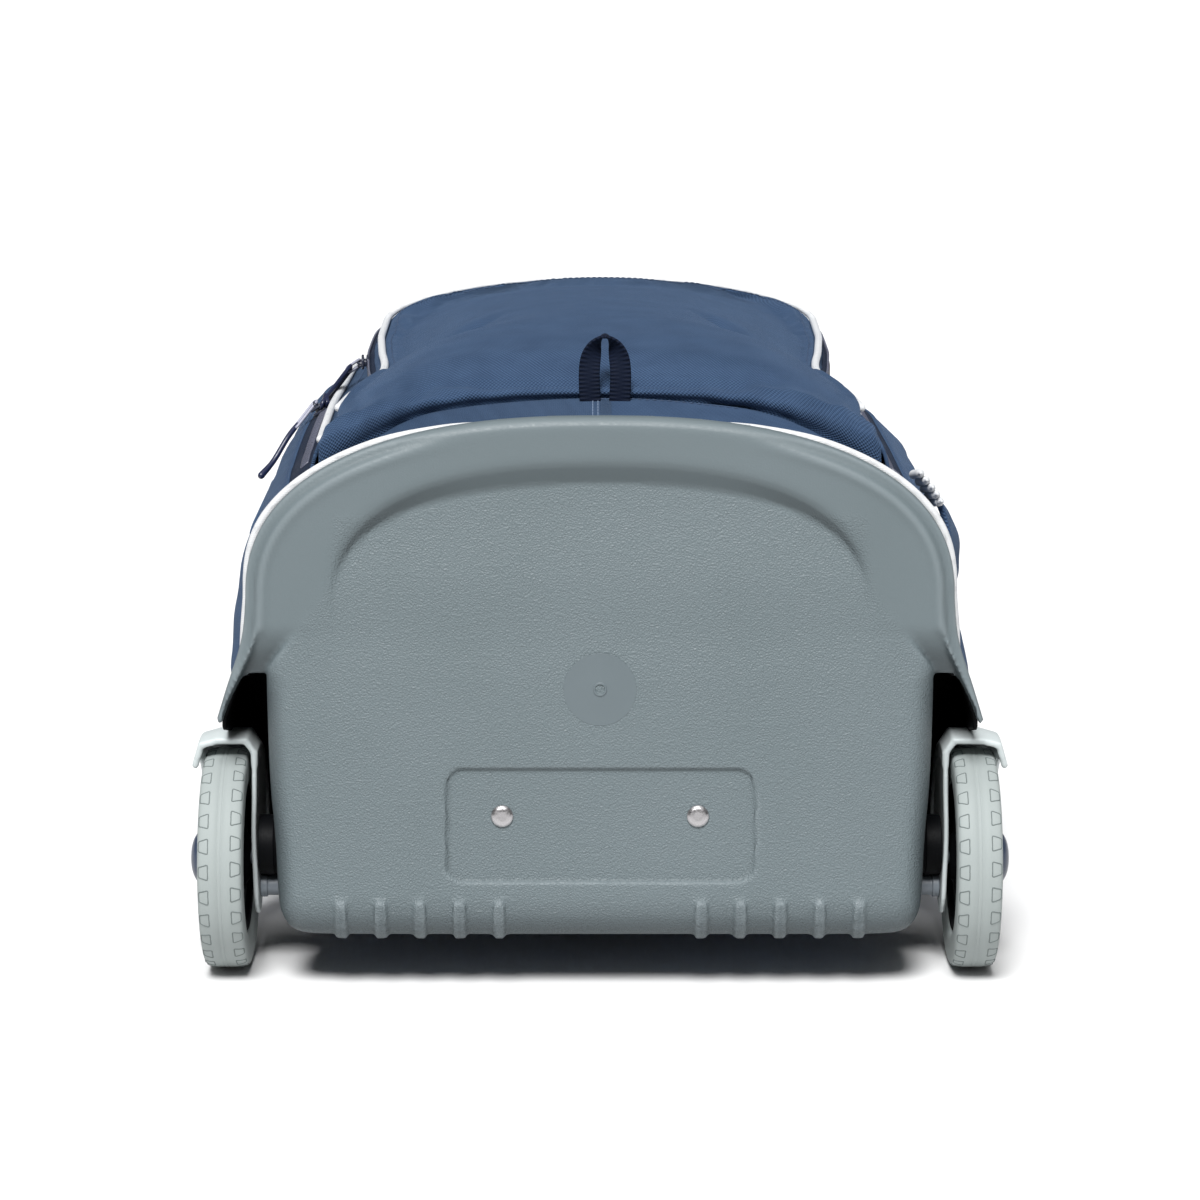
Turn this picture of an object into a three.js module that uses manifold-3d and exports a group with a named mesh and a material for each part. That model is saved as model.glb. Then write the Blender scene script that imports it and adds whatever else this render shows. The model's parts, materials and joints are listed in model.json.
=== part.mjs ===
// A wheeled bag lying on its back: moulded base tray with two wheels, sewn cloth body, front pocket.
// Millimetres. X runs across the bag, Y from the base tray to the top end, Z up from the floor.

import * as THREE from 'three';
import { mergeVertices } from 'three/addons/utils/BufferGeometryUtils.js';
import Module from 'manifold-3d';

const wasm = await Module();
wasm.setup();

// Gap that neighbouring pieces keep.
const GAP = 0.3;

// Wheels and their axle.
const WHEEL_RADIUS = 50;
const WHEEL_SIDES = 32;
const TYRE_WIDTH = 20.5;
const TYRE_BORE = 34;
const TYRE_SHOULDER = 4;
const WHEEL_X = 169.2;
const AXLE_Y = 46;
const AXLE_Z = WHEEL_RADIUS;
const AXLE_RADIUS = 3;
const BORE_CLEARANCE = 0.4;
const HUB_HALF_WIDTH = 8.5;
const HUB_CAP_RADIUS = 14;
const HUB_CAP_TIP_X = 186.5;

// Wheel guard, its boss and its post.
const FENDER_INNER_RADIUS = 56.5;
const FENDER_WALL = 2.9;
const FENDER_PLATE_X = 154;
const FENDER_OUTER_X = 184.5;
const FENDER_FRONT_ANGLE = 102;
const FENDER_BACK_ANGLE = -12;
const FENDER_SKIRT_DEPTH = 15;
const FENDER_TIP_Z = 24;
const FENDER_TIP_RADIUS = 12;
const BOSS_Z = AXLE_Z + 6;
const BOSS_STEPS = [
  { radius: 13, length: 2.2 },
  { radius: 11.6, length: 3.6 },
  { radius: 13.7, length: 8.3 },
];
const POST_Z = 35.6;
const POST_RADIUS = 5;
const POST_COLLAR_RADIUS = 6.2;
const POST_COLLAR_LENGTH = 3;

// Wheel well: a corner cut out of the body, lined with a thin black wall that reaches out over the wheel.
const WELL_SIDE_X = 139.3;
const WELL_WALL = 2.3;
const WELL_TOP_Z = 142;
const WELL_BOTTOM_Z = 28;
const WELL_BACK_Y = 120;
// Flank behind the rim's foot: it slants out from the roof's edge, then hangs down round the wheel guard.
const WELL_FLANK_Y = 21;
const WELL_FLANK_TOP_X = 160;
const WELL_FLANK_X = 168.5;
const WELL_FLANK_BEND_Z = 120;
const WELL_GUARD_GAP = 2;

// Base tray.
const RIM_FRONT_Y = 10;
const RIM_BACK_Y = 20;
const RIM_HALF_WIDTH = 157;
const RIM_WAIST_Z = 176;
const RIM_TOP_Z = 257.6;
const RIM_POWER = 2.38;
// Feet of the rim, from the block's side out to the tip over the wheel and back up to the arch.
const RIM_FEET = [
  { x: 150, z: 141.5 },
  { x: 159.5, z: 137 },
  { x: 165.8, z: 120.8 },
  { x: 170, z: 122 },
  { x: 165, z: 134 },
  { x: 158.5, z: 156 },
];
const RIM_EDGE = 1.6;
const RIM_LIP = 6;
const TRAY_WALL = 3.2;
const TRAY_BACK_Y = 30;
const BLOCK_BOTTOM_Z = 24.7;
const BLOCK_BOTTOM_HALF_WIDTH = 128;
const BLOCK_SIDES = [
  { x: 144.3, z: 42 },
  { x: 145.2, z: 68 },
  { x: 147.5, z: 91 },
  { x: 149, z: 134 },
  { x: 149, z: 165 },
];
const BLOCK_EDGE = 5;
const PANEL_TOP_Y = 15;
const PANEL_SLOPE = 0.09;
const PANEL_HALF_WIDTH = 117.5;
const PANEL_WAIST_Z = 174;
const PANEL_TOP_Z = 228;
const FIELD_HALF_WIDTH = 68.5;
const FIELD_BOTTOM_Z = 51;
const FIELD_TOP_Z = 101;
const FIELD_CORNER = 8;
const FIELD_DEPTH = 2;
const RIVET_X = 43.5;
const RIVET_Z = 80;
const RIVET_RADIUS = 5;
const RIVET_HEIGHT = 2.2;
const RIB_FIRST_X = 45;
const RIB_PITCH = 17.6;
const RIB_COUNT = 5;
const RIB_RADIUS = 2.8;
const RIB_TOP_Z = 43;
const RIB_BOTTOM_Z = 27;

// Cloth body: a D-shaped tube that closes in a rounded end.
const CLOTH = 2.5;
const BODY_MOUTH_Y = 25.5;
const BODY_WAIST_Z = 176;
const CAP_START_Y = 350;
const CAP_LENGTH = 165;
const FRONT_POWER = 2.38;
const BACK_POWER = 8;
const PLAN_POWER = 2.6;
const BODY_SECTIONS = [
  { y: 0, halfWidth: 153, top: 254, bottom: 27 },
  { y: 25.5, halfWidth: 155.5, top: 255.5, bottom: 25 },
  { y: 51, halfWidth: 158, top: 258.8, bottom: 23 },
  { y: 100, halfWidth: 161, top: 256, bottom: 19.5 },
  { y: 150, halfWidth: 163, top: 252.5, bottom: 16 },
  { y: 250, halfWidth: 164, top: 249, bottom: 9 },
  { y: 350, halfWidth: 163, top: 248, bottom: 2 },
  { y: 440, halfWidth: 163, top: 248, bottom: -4 },
  { y: 520, halfWidth: 163, top: 248, bottom: -6 },
];
const BODY_STEPS = [25.5, 51, 100, 150, 200, 250, 300, 350];
const CAP_STEPS = [0.25, 0.45, 0.6, 0.73, 0.84, 0.92, 0.97];

// Front of the main compartment, as shares of the half width.
const PANEL_SHARE = 0.8;
const ZIP_SHARE = 0.885;
const GAP_SHARE = 0.0025;
const ZIP_SINK = 0.6;
const PIPING_RADIUS = 2.2;
const MAIN_PIPING_START_Y = 66;

// Front pocket: half width at the piping, height at the piping and at the middle.
const POCKET_CLOTH = 2.2;
const POCKET_FLARE = 4;
const POCKET_SECTIONS = [
  { y: 51, halfWidth: 119, edge: 242.5, crown: 263 },
  { y: 56, halfWidth: 119.5, edge: 244.5, crown: 270 },
  { y: 65, halfWidth: 119.5, edge: 247, crown: 276.5 },
  { y: 82, halfWidth: 118, edge: 250, crown: 283.5 },
  { y: 110, halfWidth: 113.5, edge: 252.5, crown: 287 },
  { y: 150, halfWidth: 106, edge: 253, crown: 288.3 },
  { y: 175, halfWidth: 103.5, edge: 252.8, crown: 288.4 },
  { y: 200, halfWidth: 103, edge: 252.5, crown: 288.5 },
  { y: 228, halfWidth: 105, edge: 252.7, crown: 287.6 },
  { y: 260, halfWidth: 108, edge: 253, crown: 286.5 },
  { y: 330, halfWidth: 116, edge: 255, crown: 282 },
  { y: 400, halfWidth: 118, edge: 257, crown: 277 },
];
// Two slanting folds in the pocket's cloth, drawn on its plan.
const POCKET_FOLDS = [
  { from: [-59, 240], to: [-92, 175], depth: 4, width: 13 },
  { from: [57, 253], to: [92, 172], depth: 4, width: 13 },
];
const POCKET_ARC_Y = 400;
const POCKET_FAR_Y = 445;
const POCKET_FAR_Z = 271;
const POCKET_ARC_POWER = 2.5;
const POCKET_ARC_STEPS = [0.3, 0.55, 0.75, 0.9, 0.98];
const POCKET_ZIP_START_Y = 130;
const POCKET_ZIP_DROP = 4.5;
const POCKET_ZIP_HEIGHT = 6;
const POCKET_ZIP_THICKNESS = 1.4;
const POCKET_PIPING_START_Y = 66;
const POCKET_PIPING_OUT = 0.82;
const POCKET_PIPING_UP = 0.57;

// Webbing loop on the front pocket's bottom seam.
const LOOP_WIDTH = 21;
const LOOP_SHOULDER = 24;
const LOOP_HEIGHT = 32.5;
const LOOP_SLIT = 5.2;
const LOOP_SLIT_BOTTOM = 9;
const LOOP_THICKNESS = 2.6;
const LOOP_Y = 48.2;

// Zip pulls: each runs from its slider to its tip.
const PULL_RADIUS = 2.2;
const SLIDER_SIZE = [7, 11, 4];
const MAIN_SLIDER_Y = 252;
const MAIN_PULL_TIP = [-167.5, 222, 198];
const POCKET_SLIDER_Y = 300;
const POCKET_PULL_TIP = [-139, 247, 229.5];
const FAR_SLIDER_SIZE = [11, 4, 13];
const FAR_SLIDER_PLACE = [80.8, 434.9, 264];
const FAR_SLIDER_TURN = -0.49;

// Side pouches: Z range, bulge from the body's side, Y range from the closed end to the mouth.
const POUCH_CLOTH = 2;
const POUCHES = [
  { name: 'side_pocket_left', side: -1, top: 186, bottom: 46, bulge: 14, start: 124, mouth: 300 },
  { name: 'side_pocket_right', side: 1, top: 147, bottom: 46, bulge: 15.8, start: 124, mouth: 300 },
  { name: 'side_slip_pocket_right', side: 1, top: 203, bottom: 149.5, bulge: 9, start: 112, mouth: 240 },
];

// White gathered elastic on the right side: rolls side by side.
const GATHER_ROLLS = 5;
const GATHER_RADIUS = 2.4;
const GATHER_PITCH = 3.5;
const GATHER_TOP_Z = 219;
const GATHER_Y = [106, 128];

// Pull handle at the top end.
const HANDLE_SPACING = 86;
const HANDLE_Z = 24;
const HANDLE_LEG_RADIUS = 6;
const HANDLE_GRIP_Y = 537;
const HANDLE_GRIP_RADIUS = 8;
const HANDLE_GRIP_LENGTH = 122;

const degrees = THREE.MathUtils.degToRad;
const vector = (x, y, z) => new THREE.Vector3(x, y, z);

// Finishes.
const finish = (color, roughness, metalness = 0) =>
  new THREE.MeshStandardMaterial({ color, roughness, metalness });
const COLOURS = {
  tray: () => finish(0x829093, 0.6),
  guard: () => finish(0xbec8c9, 0.55),
  tyre: () => finish(0xbdc7c6, 0.75),
  black: () => finish(0x181b20, 0.6),
  post: () => finish(0x7f8891, 0.5),
  navy: () => finish(0x445d7c, 0.85),
  navyDark: () => finish(0x1b263c, 0.85),
  cap: () => finish(0x354458, 0.45),
  white: () => finish(0xf2f4f5, 0.6),
  steel: () => finish(0x9d9b9f, 0.3, 1),
};

// Solids for cutting and joining, and the way back to a geometry.
function solidOf(geometry) {
  const bare = geometry.clone();
  bare.deleteAttribute('normal');
  bare.deleteAttribute('uv');
  const merged = mergeVertices(bare, 1e-4);
  const corners = merged.index.array;
  const kept = [];
  for (let i = 0; i < corners.length; i += 3) {
    const [a, b, c] = [corners[i], corners[i + 1], corners[i + 2]];
    if (a !== b && b !== c && c !== a) kept.push(a, b, c);
  }
  return new wasm.Manifold(new wasm.Mesh({
    numProp: 3,
    vertProperties: new Float32Array(merged.attributes.position.array),
    triVerts: new Uint32Array(kept),
  }));
}

function geometryOf(solid) {
  const mesh = solid.getMesh();
  const geometry = new THREE.BufferGeometry();
  geometry.setAttribute('position', new THREE.BufferAttribute(new Float32Array(mesh.vertProperties), 3));
  geometry.setIndex(new THREE.BufferAttribute(new Uint32Array(mesh.triVerts), 1));
  return geometry;
}

const join = (...solids) => solids.reduce((all, next) => all.add(next));

function box(x, y, z) {
  const geometry = new THREE.BoxGeometry(x[1] - x[0], y[1] - y[0], z[1] - z[0]);
  geometry.translate((x[0] + x[1]) / 2, (y[0] + y[1]) / 2, (z[0] + z[1]) / 2);
  return solidOf(geometry);
}

// A closed solid through rings of equal point count, with flat fans on both ends.
function loft(rings) {
  const count = rings[0].length;
  const points = rings.flat();
  const index = [];
  for (let ring = 0; ring + 1 < rings.length; ring++) {
    for (let i = 0; i < count; i++) {
      const a = ring * count + i;
      const b = ring * count + (i + 1) % count;
      index.push(a, b, b + count, a, b + count, a + count);
    }
  }
  for (const [ring, flip] of [[0, true], [rings.length - 1, false]]) {
    const middle = rings[ring].reduce((sum, p) => sum.add(p), vector(0, 0, 0)).divideScalar(count);
    const centre = points.push(middle) - 1;
    for (let i = 0; i < count; i++) {
      const a = ring * count + i;
      const b = ring * count + (i + 1) % count;
      if (flip) index.push(centre, b, a);
      else index.push(centre, a, b);
    }
  }
  const geometry = new THREE.BufferGeometry().setFromPoints(points);
  geometry.setIndex(index);
  return geometry;
}

// An outline drawn in X and Z, extruded from one Y to another, with an optional rounded edge.
function plateXZ(shape, front, back, edge = 0) {
  const geometry = new THREE.ExtrudeGeometry(shape, {
    depth: back - front - 2 * edge,
    curveSegments: 4,
    bevelEnabled: edge > 0,
    bevelThickness: edge,
    bevelSize: edge,
    bevelOffset: -edge,
    bevelSegments: 2,
  });
  geometry.rotateX(Math.PI / 2);
  geometry.translate(0, back - edge, 0);
  return geometry;
}

// An outline drawn in Y and Z, extruded along X.
function plateYZ(shape, from, to) {
  const geometry = new THREE.ExtrudeGeometry(shape, {
    depth: to - from,
    curveSegments: 8,
    bevelEnabled: false,
  });
  geometry.applyMatrix4(new THREE.Matrix4().makeBasis(vector(0, 1, 0), vector(0, 0, 1), vector(1, 0, 0)));
  geometry.translate(from, 0, 0);
  return geometry;
}

// A turned piece: a profile of radius and X, spun about the X axis.
function turned(profile, sides, start = 0) {
  const points = profile.map(([radius, x]) => new THREE.Vector2(radius, x));
  const geometry = new THREE.LatheGeometry(points, sides, start);
  geometry.applyMatrix4(new THREE.Matrix4().makeBasis(vector(0, 1, 0), vector(1, 0, 0), vector(0, 0, -1)));
  return geometry;
}

function tube(points, radius, steps, sides = 6) {
  const outline = new THREE.Shape();
  for (let i = 0; i < sides; i++) {
    const angle = 2 * Math.PI * i / sides;
    const [x, y] = [radius * Math.cos(angle), radius * Math.sin(angle)];
    if (i === 0) outline.moveTo(x, y);
    else outline.lineTo(x, y);
  }
  const path = new THREE.CatmullRomCurve3(points, false, 'centripetal');
  return new THREE.ExtrudeGeometry(outline, { steps, bevelEnabled: false, extrudePath: path });
}

// Linear reading of a table of sections ordered by y.
function read(table, y, column) {
  const last = table.length - 1;
  const next = Math.min(Math.max(table.findIndex((row) => row.y >= y), 1), last);
  const [a, b] = [table[next - 1], table[y > table[last].y ? last : next]];
  const share = THREE.MathUtils.clamp((y - a.y) / (b.y - a.y), 0, 1);
  return THREE.MathUtils.lerp(a[column], b[column], share);
}

const atLeastZero = (value) => Math.max(value, 0);
const power = (base, exponent) => Math.pow(atLeastZero(base), exponent);

// Share of the cap at a given y: 0 along the straight stretch, 1 at the far end.
const capShare = (y, grow = 0) => atLeastZero((y - CAP_START_Y) / (CAP_LENGTH + grow));

// One ring of the cloth body. A negative grow gives the inner face of the wall.
function bodyRing(y, grow) {
  const share = capShare(y, grow);
  const halfWidth = read(BODY_SECTIONS, y, 'halfWidth') + grow;
  const front = read(BODY_SECTIONS, y, 'top') - BODY_WAIST_Z + grow;
  const back = BODY_WAIST_Z - read(BODY_SECTIONS, y, 'bottom') + grow;
  const right = [];
  const place = (angle, exponent, height, sign) => {
    const out = power(Math.cos(angle), 2 / exponent);
    const x = halfWidth * power(power(out, PLAN_POWER) - power(share, PLAN_POWER), 1 / PLAN_POWER);
    const z = BODY_WAIST_Z + sign * height * power(Math.sin(angle), 2 / exponent);
    right.push(vector(x, y, Math.max(z, -grow)));
  };
  const frontEnd = Math.acos(Math.min(power(share, FRONT_POWER / 2), 1));
  const backEnd = Math.acos(Math.min(power(share, BACK_POWER / 2), 1));
  const frontSteps = 9;
  const backSteps = 6;
  for (let i = 0; i <= frontSteps; i++) place(frontEnd * (1 - i / frontSteps), FRONT_POWER, front, 1);
  for (let i = 1; i <= backSteps; i++) place(backEnd * (i / backSteps), BACK_POWER, back, -1);
  right[0].x = 0;
  right[right.length - 1].x = 0;
  const left = right.slice(1, -1).reverse().map((p) => vector(-p.x, p.y, p.z));
  return [...right, ...left];
}

function bodySolid(grow, mouth) {
  const straight = [mouth, ...BODY_STEPS.slice(1)];
  const rounded = CAP_STEPS.map((share) => CAP_START_Y + share * (CAP_LENGTH + grow));
  return solidOf(loft([...straight, ...rounded].map((y) => bodyRing(y, grow))));
}

// Height of the body's front at a place on its plan.
function frontHeight(x, y) {
  const halfWidth = read(BODY_SECTIONS, y, 'halfWidth');
  const across = power(Math.abs(x) / halfWidth, PLAN_POWER);
  const out = power(across + power(capShare(y), PLAN_POWER), 1 / PLAN_POWER);
  const rise = read(BODY_SECTIONS, y, 'top') - BODY_WAIST_Z;
  return BODY_WAIST_Z + rise * power(1 - power(out, FRONT_POWER), 1 / FRONT_POWER);
}

// Half width of the body's side at a height, along the straight stretch.
function sideWidth(y, z) {
  const halfWidth = read(BODY_SECTIONS, y, 'halfWidth');
  const above = z > BODY_WAIST_Z;
  const reach = above ? read(BODY_SECTIONS, y, 'top') - BODY_WAIST_Z
    : BODY_WAIST_Z - read(BODY_SECTIONS, y, 'bottom');
  const exponent = above ? FRONT_POWER : BACK_POWER;
  const share = Math.abs(z - BODY_WAIST_Z) / reach;
  return halfWidth * power(1 - power(share, exponent), 1 / exponent);
}

// The U-shaped line on the body's plan that lies at one share of the half width.
function planLine(share, start, capSteps = 16) {
  const right = [start, ...BODY_STEPS.filter((y) => y > start)].map((y) => (
    new THREE.Vector2(share * read(BODY_SECTIONS, y, 'halfWidth'), y)
  ));
  const widest = read(BODY_SECTIONS, CAP_START_Y, 'halfWidth');
  for (let i = 1; i <= capSteps; i++) {
    const angle = Math.PI / 2 * i / capSteps;
    const x = i === capSteps ? 0 : share * widest * power(Math.cos(angle), 2 / PLAN_POWER);
    const reach = share * CAP_LENGTH * power(Math.sin(angle), 2 / PLAN_POWER);
    right.push(new THREE.Vector2(x, CAP_START_Y + reach));
  }
  const left = right.slice(0, -1).reverse().map((p) => new THREE.Vector2(-p.x, p.y));
  return [...right, ...left];
}

// An upright prism over that line.
function planPrism(share) {
  const shape = new THREE.Shape(planLine(share, 0));
  const geometry = new THREE.ExtrudeGeometry(shape, { depth: 150, bevelEnabled: false });
  geometry.translate(0, 0, BODY_WAIST_Z);
  return solidOf(geometry);
}

// Points of a line raised off the body's front, along the surface normal.
function raisedOnFront(line, height) {
  const step = 0.5;
  return line.map(({ x, y }) => {
    const slopeX = (frontHeight(x + step, y) - frontHeight(x - step, y)) / (2 * step);
    const slopeY = (frontHeight(x, y + step) - frontHeight(x, y - step)) / (2 * step);
    const normal = vector(-slopeX, -slopeY, 1).normalize();
    return vector(x, y, frontHeight(x, y)).addScaledVector(normal, height);
  });
}

const parts = new THREE.Group();

function add(name, shape, material) {
  const geometry = shape instanceof THREE.BufferGeometry ? geometryOf(solidOf(shape)) : geometryOf(shape);
  const mesh = new THREE.Mesh(geometry, material);
  mesh.name = name;
  parts.add(mesh);
}

// Cloth body, its front panel and the zip strip between them.
function makeBody() {
  const outer = bodySolid(0, BODY_MOUTH_Y);
  const shell = outer.subtract(bodySolid(-CLOTH, BODY_MOUTH_Y - 10));
  const wide = [-300, 300];
  const trayRoom = box(wide, [0, TRAY_BACK_Y + GAP], [-10, WELL_TOP_Z + GAP]);
  const wellX = WELL_SIDE_X - WELL_WALL - GAP;
  const wells = [[-300, -wellX], [wellX, 300]].map((x) => (
    box(x, [0, WELL_BACK_Y + GAP], [-10, WELL_TOP_Z + GAP])
  ));
  const opening = planPrism(ZIP_SHARE + GAP_SHARE);
  add('body_shell', shell.subtract(trayRoom).subtract(join(...wells)).subtract(opening), COLOURS.navy());
  add('front_panel', shell.intersect(planPrism(PANEL_SHARE - GAP_SHARE)), COLOURS.navy());
  const sunk = bodySolid(-ZIP_SINK, BODY_MOUTH_Y).subtract(bodySolid(-CLOTH, BODY_MOUTH_Y - 10));
  const strip = planPrism(ZIP_SHARE).subtract(planPrism(PANEL_SHARE));
  add('main_zip', sunk.intersect(strip), COLOURS.navyDark());
  const line = planLine(PANEL_SHARE, MAIN_PIPING_START_Y);
  add('main_piping', tube(raisedOnFront(line, PIPING_RADIUS + GAP), PIPING_RADIUS, 36), COLOURS.white());
}

// Black walls of the wheel wells, with a flank that hangs down behind the rim's foot.
function makeWellLiners() {
  const guardRoom = new THREE.CylinderGeometry(1, 1, 2, 40);
  const guardRadius = FENDER_INNER_RADIUS + FENDER_WALL + WELL_GUARD_GAP;
  guardRoom.rotateZ(Math.PI / 2);
  guardRoom.scale(300, guardRadius, guardRadius);
  guardRoom.translate(0, AXLE_Y, AXLE_Z);
  const frontRoom = box([-300, 300], [-10, AXLE_Y], [-10, AXLE_Z + guardRadius]);
  const wheelRoom = solidOf(guardRoom).add(frontRoom);
  for (const [word, side] of [['left', -1], ['right', 1]]) {
    const outline = (...corners) => new THREE.Shape(corners.map(([x, z]) => new THREE.Vector2(side * x, z)));
    const inner = WELL_SIDE_X - WELL_WALL;
    const roofX = WELL_FLANK_TOP_X + WELL_WALL;
    const ceiling = WELL_TOP_Z - WELL_WALL;
    const y = [TRAY_BACK_Y + GAP, WELL_BACK_Y];
    const wallShape = outline([inner, WELL_BOTTOM_Z], [WELL_SIDE_X, WELL_BOTTOM_Z], [WELL_SIDE_X, WELL_TOP_Z],
      [inner, WELL_TOP_Z]);
    const roofShape = outline([inner, ceiling], [roofX, ceiling], [roofX, WELL_TOP_Z], [inner, WELL_TOP_Z]);
    const backShape = outline([inner, WELL_BOTTOM_Z], [WELL_FLANK_X, WELL_BOTTOM_Z],
      [WELL_FLANK_X, WELL_FLANK_BEND_Z], [roofX, ceiling], [roofX, WELL_TOP_Z], [inner, WELL_TOP_Z]);
    const flankShape = outline([WELL_FLANK_TOP_X, WELL_TOP_Z], [WELL_FLANK_TOP_X, ceiling],
      [WELL_FLANK_X - WELL_WALL, WELL_FLANK_BEND_Z], [WELL_FLANK_X - WELL_WALL, WELL_BOTTOM_Z],
      [WELL_FLANK_X, WELL_BOTTOM_Z], [WELL_FLANK_X, WELL_FLANK_BEND_Z], [roofX, ceiling], [roofX, WELL_TOP_Z]);
    const plate = (shape, from, to) => solidOf(plateXZ(shape, from, to));
    add(`well_liner_${word}`, join(
      plate(wallShape, ...y),
      plate(roofShape, ...y),
      plate(backShape, y[1] - WELL_WALL, y[1]),
      plate(flankShape, WELL_FLANK_Y, y[1]).subtract(wheelRoom),
    ), COLOURS.black());
  }
}

// Half a superellipse above a waist line, from right to left.
function archPoints(halfWidth, rise, waist, steps = 16) {
  const points = [];
  for (let i = 0; i <= steps; i++) {
    const angle = Math.PI * i / steps;
    const [c, s] = [Math.cos(angle), Math.sin(angle)];
    const x = Math.sign(c) * halfWidth * power(Math.abs(c), 2 / RIM_POWER);
    points.push(new THREE.Vector2(x, waist + rise * power(s, 2 / RIM_POWER)));
  }
  return points;
}

const mirrored = (points) => points.map((p) => new THREE.Vector2(-p.x, p.y)).reverse();

// Rim outline: an arch whose feet flare out over the wheels.
function rimShape() {
  const foot = RIM_FEET.map(({ x, z }) => new THREE.Vector2(x, z));
  const arch = archPoints(RIM_HALF_WIDTH, RIM_TOP_Z - RIM_WAIST_Z, RIM_WAIST_Z);
  return new THREE.Shape([...foot, ...arch, ...mirrored(foot)]);
}

// An arch with straight legs down to a foot line.
function archShape(inset, foot, half = PANEL_HALF_WIDTH, waist = PANEL_WAIST_Z, top = PANEL_TOP_Z) {
  const arch = archPoints(half - inset, top - waist - inset, waist);
  const legs = [new THREE.Vector2(-half + inset, foot), new THREE.Vector2(half - inset, foot)];
  return new THREE.Shape([...arch, ...legs]);
}

// Lower block of the tray: its sides lean in towards a rounded bottom edge.
function blockShape(inset) {
  const shape = new THREE.Shape();
  const bottom = BLOCK_BOTTOM_Z + inset;
  const side = BLOCK_SIDES.map(({ x, z }) => new THREE.Vector2(x - inset, z));
  shape.moveTo(-BLOCK_BOTTOM_HALF_WIDTH, bottom);
  shape.lineTo(BLOCK_BOTTOM_HALF_WIDTH, bottom);
  shape.quadraticCurveTo(side[0].x, bottom, side[0].x, side[0].y);
  for (const p of side.slice(1)) shape.lineTo(p.x, p.y);
  for (const p of side.slice().reverse()) shape.lineTo(-p.x, p.y);
  shape.quadraticCurveTo(-side[0].x, bottom, -BLOCK_BOTTOM_HALF_WIDTH, bottom);
  return shape;
}

const panelY = (z) => PANEL_TOP_Y - PANEL_SLOPE * (PANEL_TOP_Z - z);

// Leans a geometry so that Y 0 follows the tray's sloping panel.
function onPanel(geometry) {
  const leaned = geometry.clone();
  const position = leaned.attributes.position;
  for (let i = 0; i < position.count; i++) {
    position.setY(i, position.getY(i) + panelY(position.getZ(i)));
  }
  return leaned;
}

function roundedRectangle(x, z, corner) {
  const shape = new THREE.Shape();
  shape.moveTo(x[0] + corner, z[0]);
  shape.lineTo(x[1] - corner, z[0]);
  shape.absarc(x[1] - corner, z[0] + corner, corner, -Math.PI / 2, 0);
  shape.lineTo(x[1], z[1] - corner);
  shape.absarc(x[1] - corner, z[1] - corner, corner, 0, Math.PI / 2);
  shape.lineTo(x[0] + corner, z[1]);
  shape.absarc(x[0] + corner, z[1] - corner, corner, Math.PI / 2, Math.PI);
  shape.lineTo(x[0], z[0] + corner);
  shape.absarc(x[0] + corner, z[0] + corner, corner, Math.PI, 1.5 * Math.PI);
  return shape;
}

function makeTray() {
  const deep = 70;
  const field = roundedRectangle([-FIELD_HALF_WIDTH, FIELD_HALF_WIDTH], [FIELD_BOTTOM_Z, FIELD_TOP_Z],
    FIELD_CORNER);
  const sunkPanel = solidOf(onPanel(plateXZ(archShape(0, 150), -deep, 0)));
  const rim = solidOf(plateXZ(rimShape(), RIM_FRONT_Y, RIM_BACK_Y, RIM_EDGE)).subtract(sunkPanel);
  const block = solidOf(onPanel(plateXZ(blockShape(0), 0, deep, BLOCK_EDGE)));
  const behind = box([-300, 300], [TRAY_BACK_Y, 200], [-10, 300]);
  const ribs = [];
  for (let i = 0; i < RIB_COUNT; i++) {
    for (const side of [-1, 1]) {
      const rib = new THREE.CapsuleGeometry(RIB_RADIUS, RIB_TOP_Z - RIB_BOTTOM_Z, 1, 6);
      rib.rotateX(Math.PI / 2);
      rib.translate(side * (RIB_FIRST_X + i * RIB_PITCH), 1, (RIB_TOP_Z + RIB_BOTTOM_Z) / 2);
      ribs.push(solidOf(onPanel(rib)));
    }
  }
  const lipRoom = solidOf(plateXZ(
    archShape(RIM_LIP, 152, RIM_HALF_WIDTH, RIM_WAIST_Z, RIM_TOP_Z), RIM_FRONT_Y + TRAY_WALL, deep));
  const panelBack = solidOf(plateXZ(archShape(-TRAY_WALL, 100), -deep, deep));
  const panelRoom = solidOf(onPanel(plateXZ(archShape(0, 150), TRAY_WALL, deep)));
  const blockRoom = solidOf(onPanel(plateXZ(blockShape(TRAY_WALL), FIELD_DEPTH + TRAY_WALL, deep)));
  const tray = join(rim, block.subtract(behind))
    .subtract(lipRoom.subtract(panelBack))
    .subtract(panelRoom)
    .subtract(blockRoom)
    .add(join(...ribs).subtract(blockRoom))
    .subtract(solidOf(onPanel(plateXZ(field, -deep, FIELD_DEPTH))));
  add('base_tray', tray, COLOURS.tray());
  for (const [word, side] of [['left', -1], ['right', 1]]) {
    const rivet = turned([[0, 0], [RIVET_RADIUS, 0], [RIVET_RADIUS, 0.9], [RIVET_RADIUS - 1.2, RIVET_HEIGHT],
      [0, RIVET_HEIGHT]], 14);
    rivet.rotateZ(-Math.PI / 2);
    rivet.rotateX(-Math.atan(PANEL_SLOPE));
    rivet.translate(side * RIVET_X, panelY(RIVET_Z) + FIELD_DEPTH - GAP, RIVET_Z);
    add(`rivet_${word}`, rivet, COLOURS.steel());
  }
}

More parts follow.
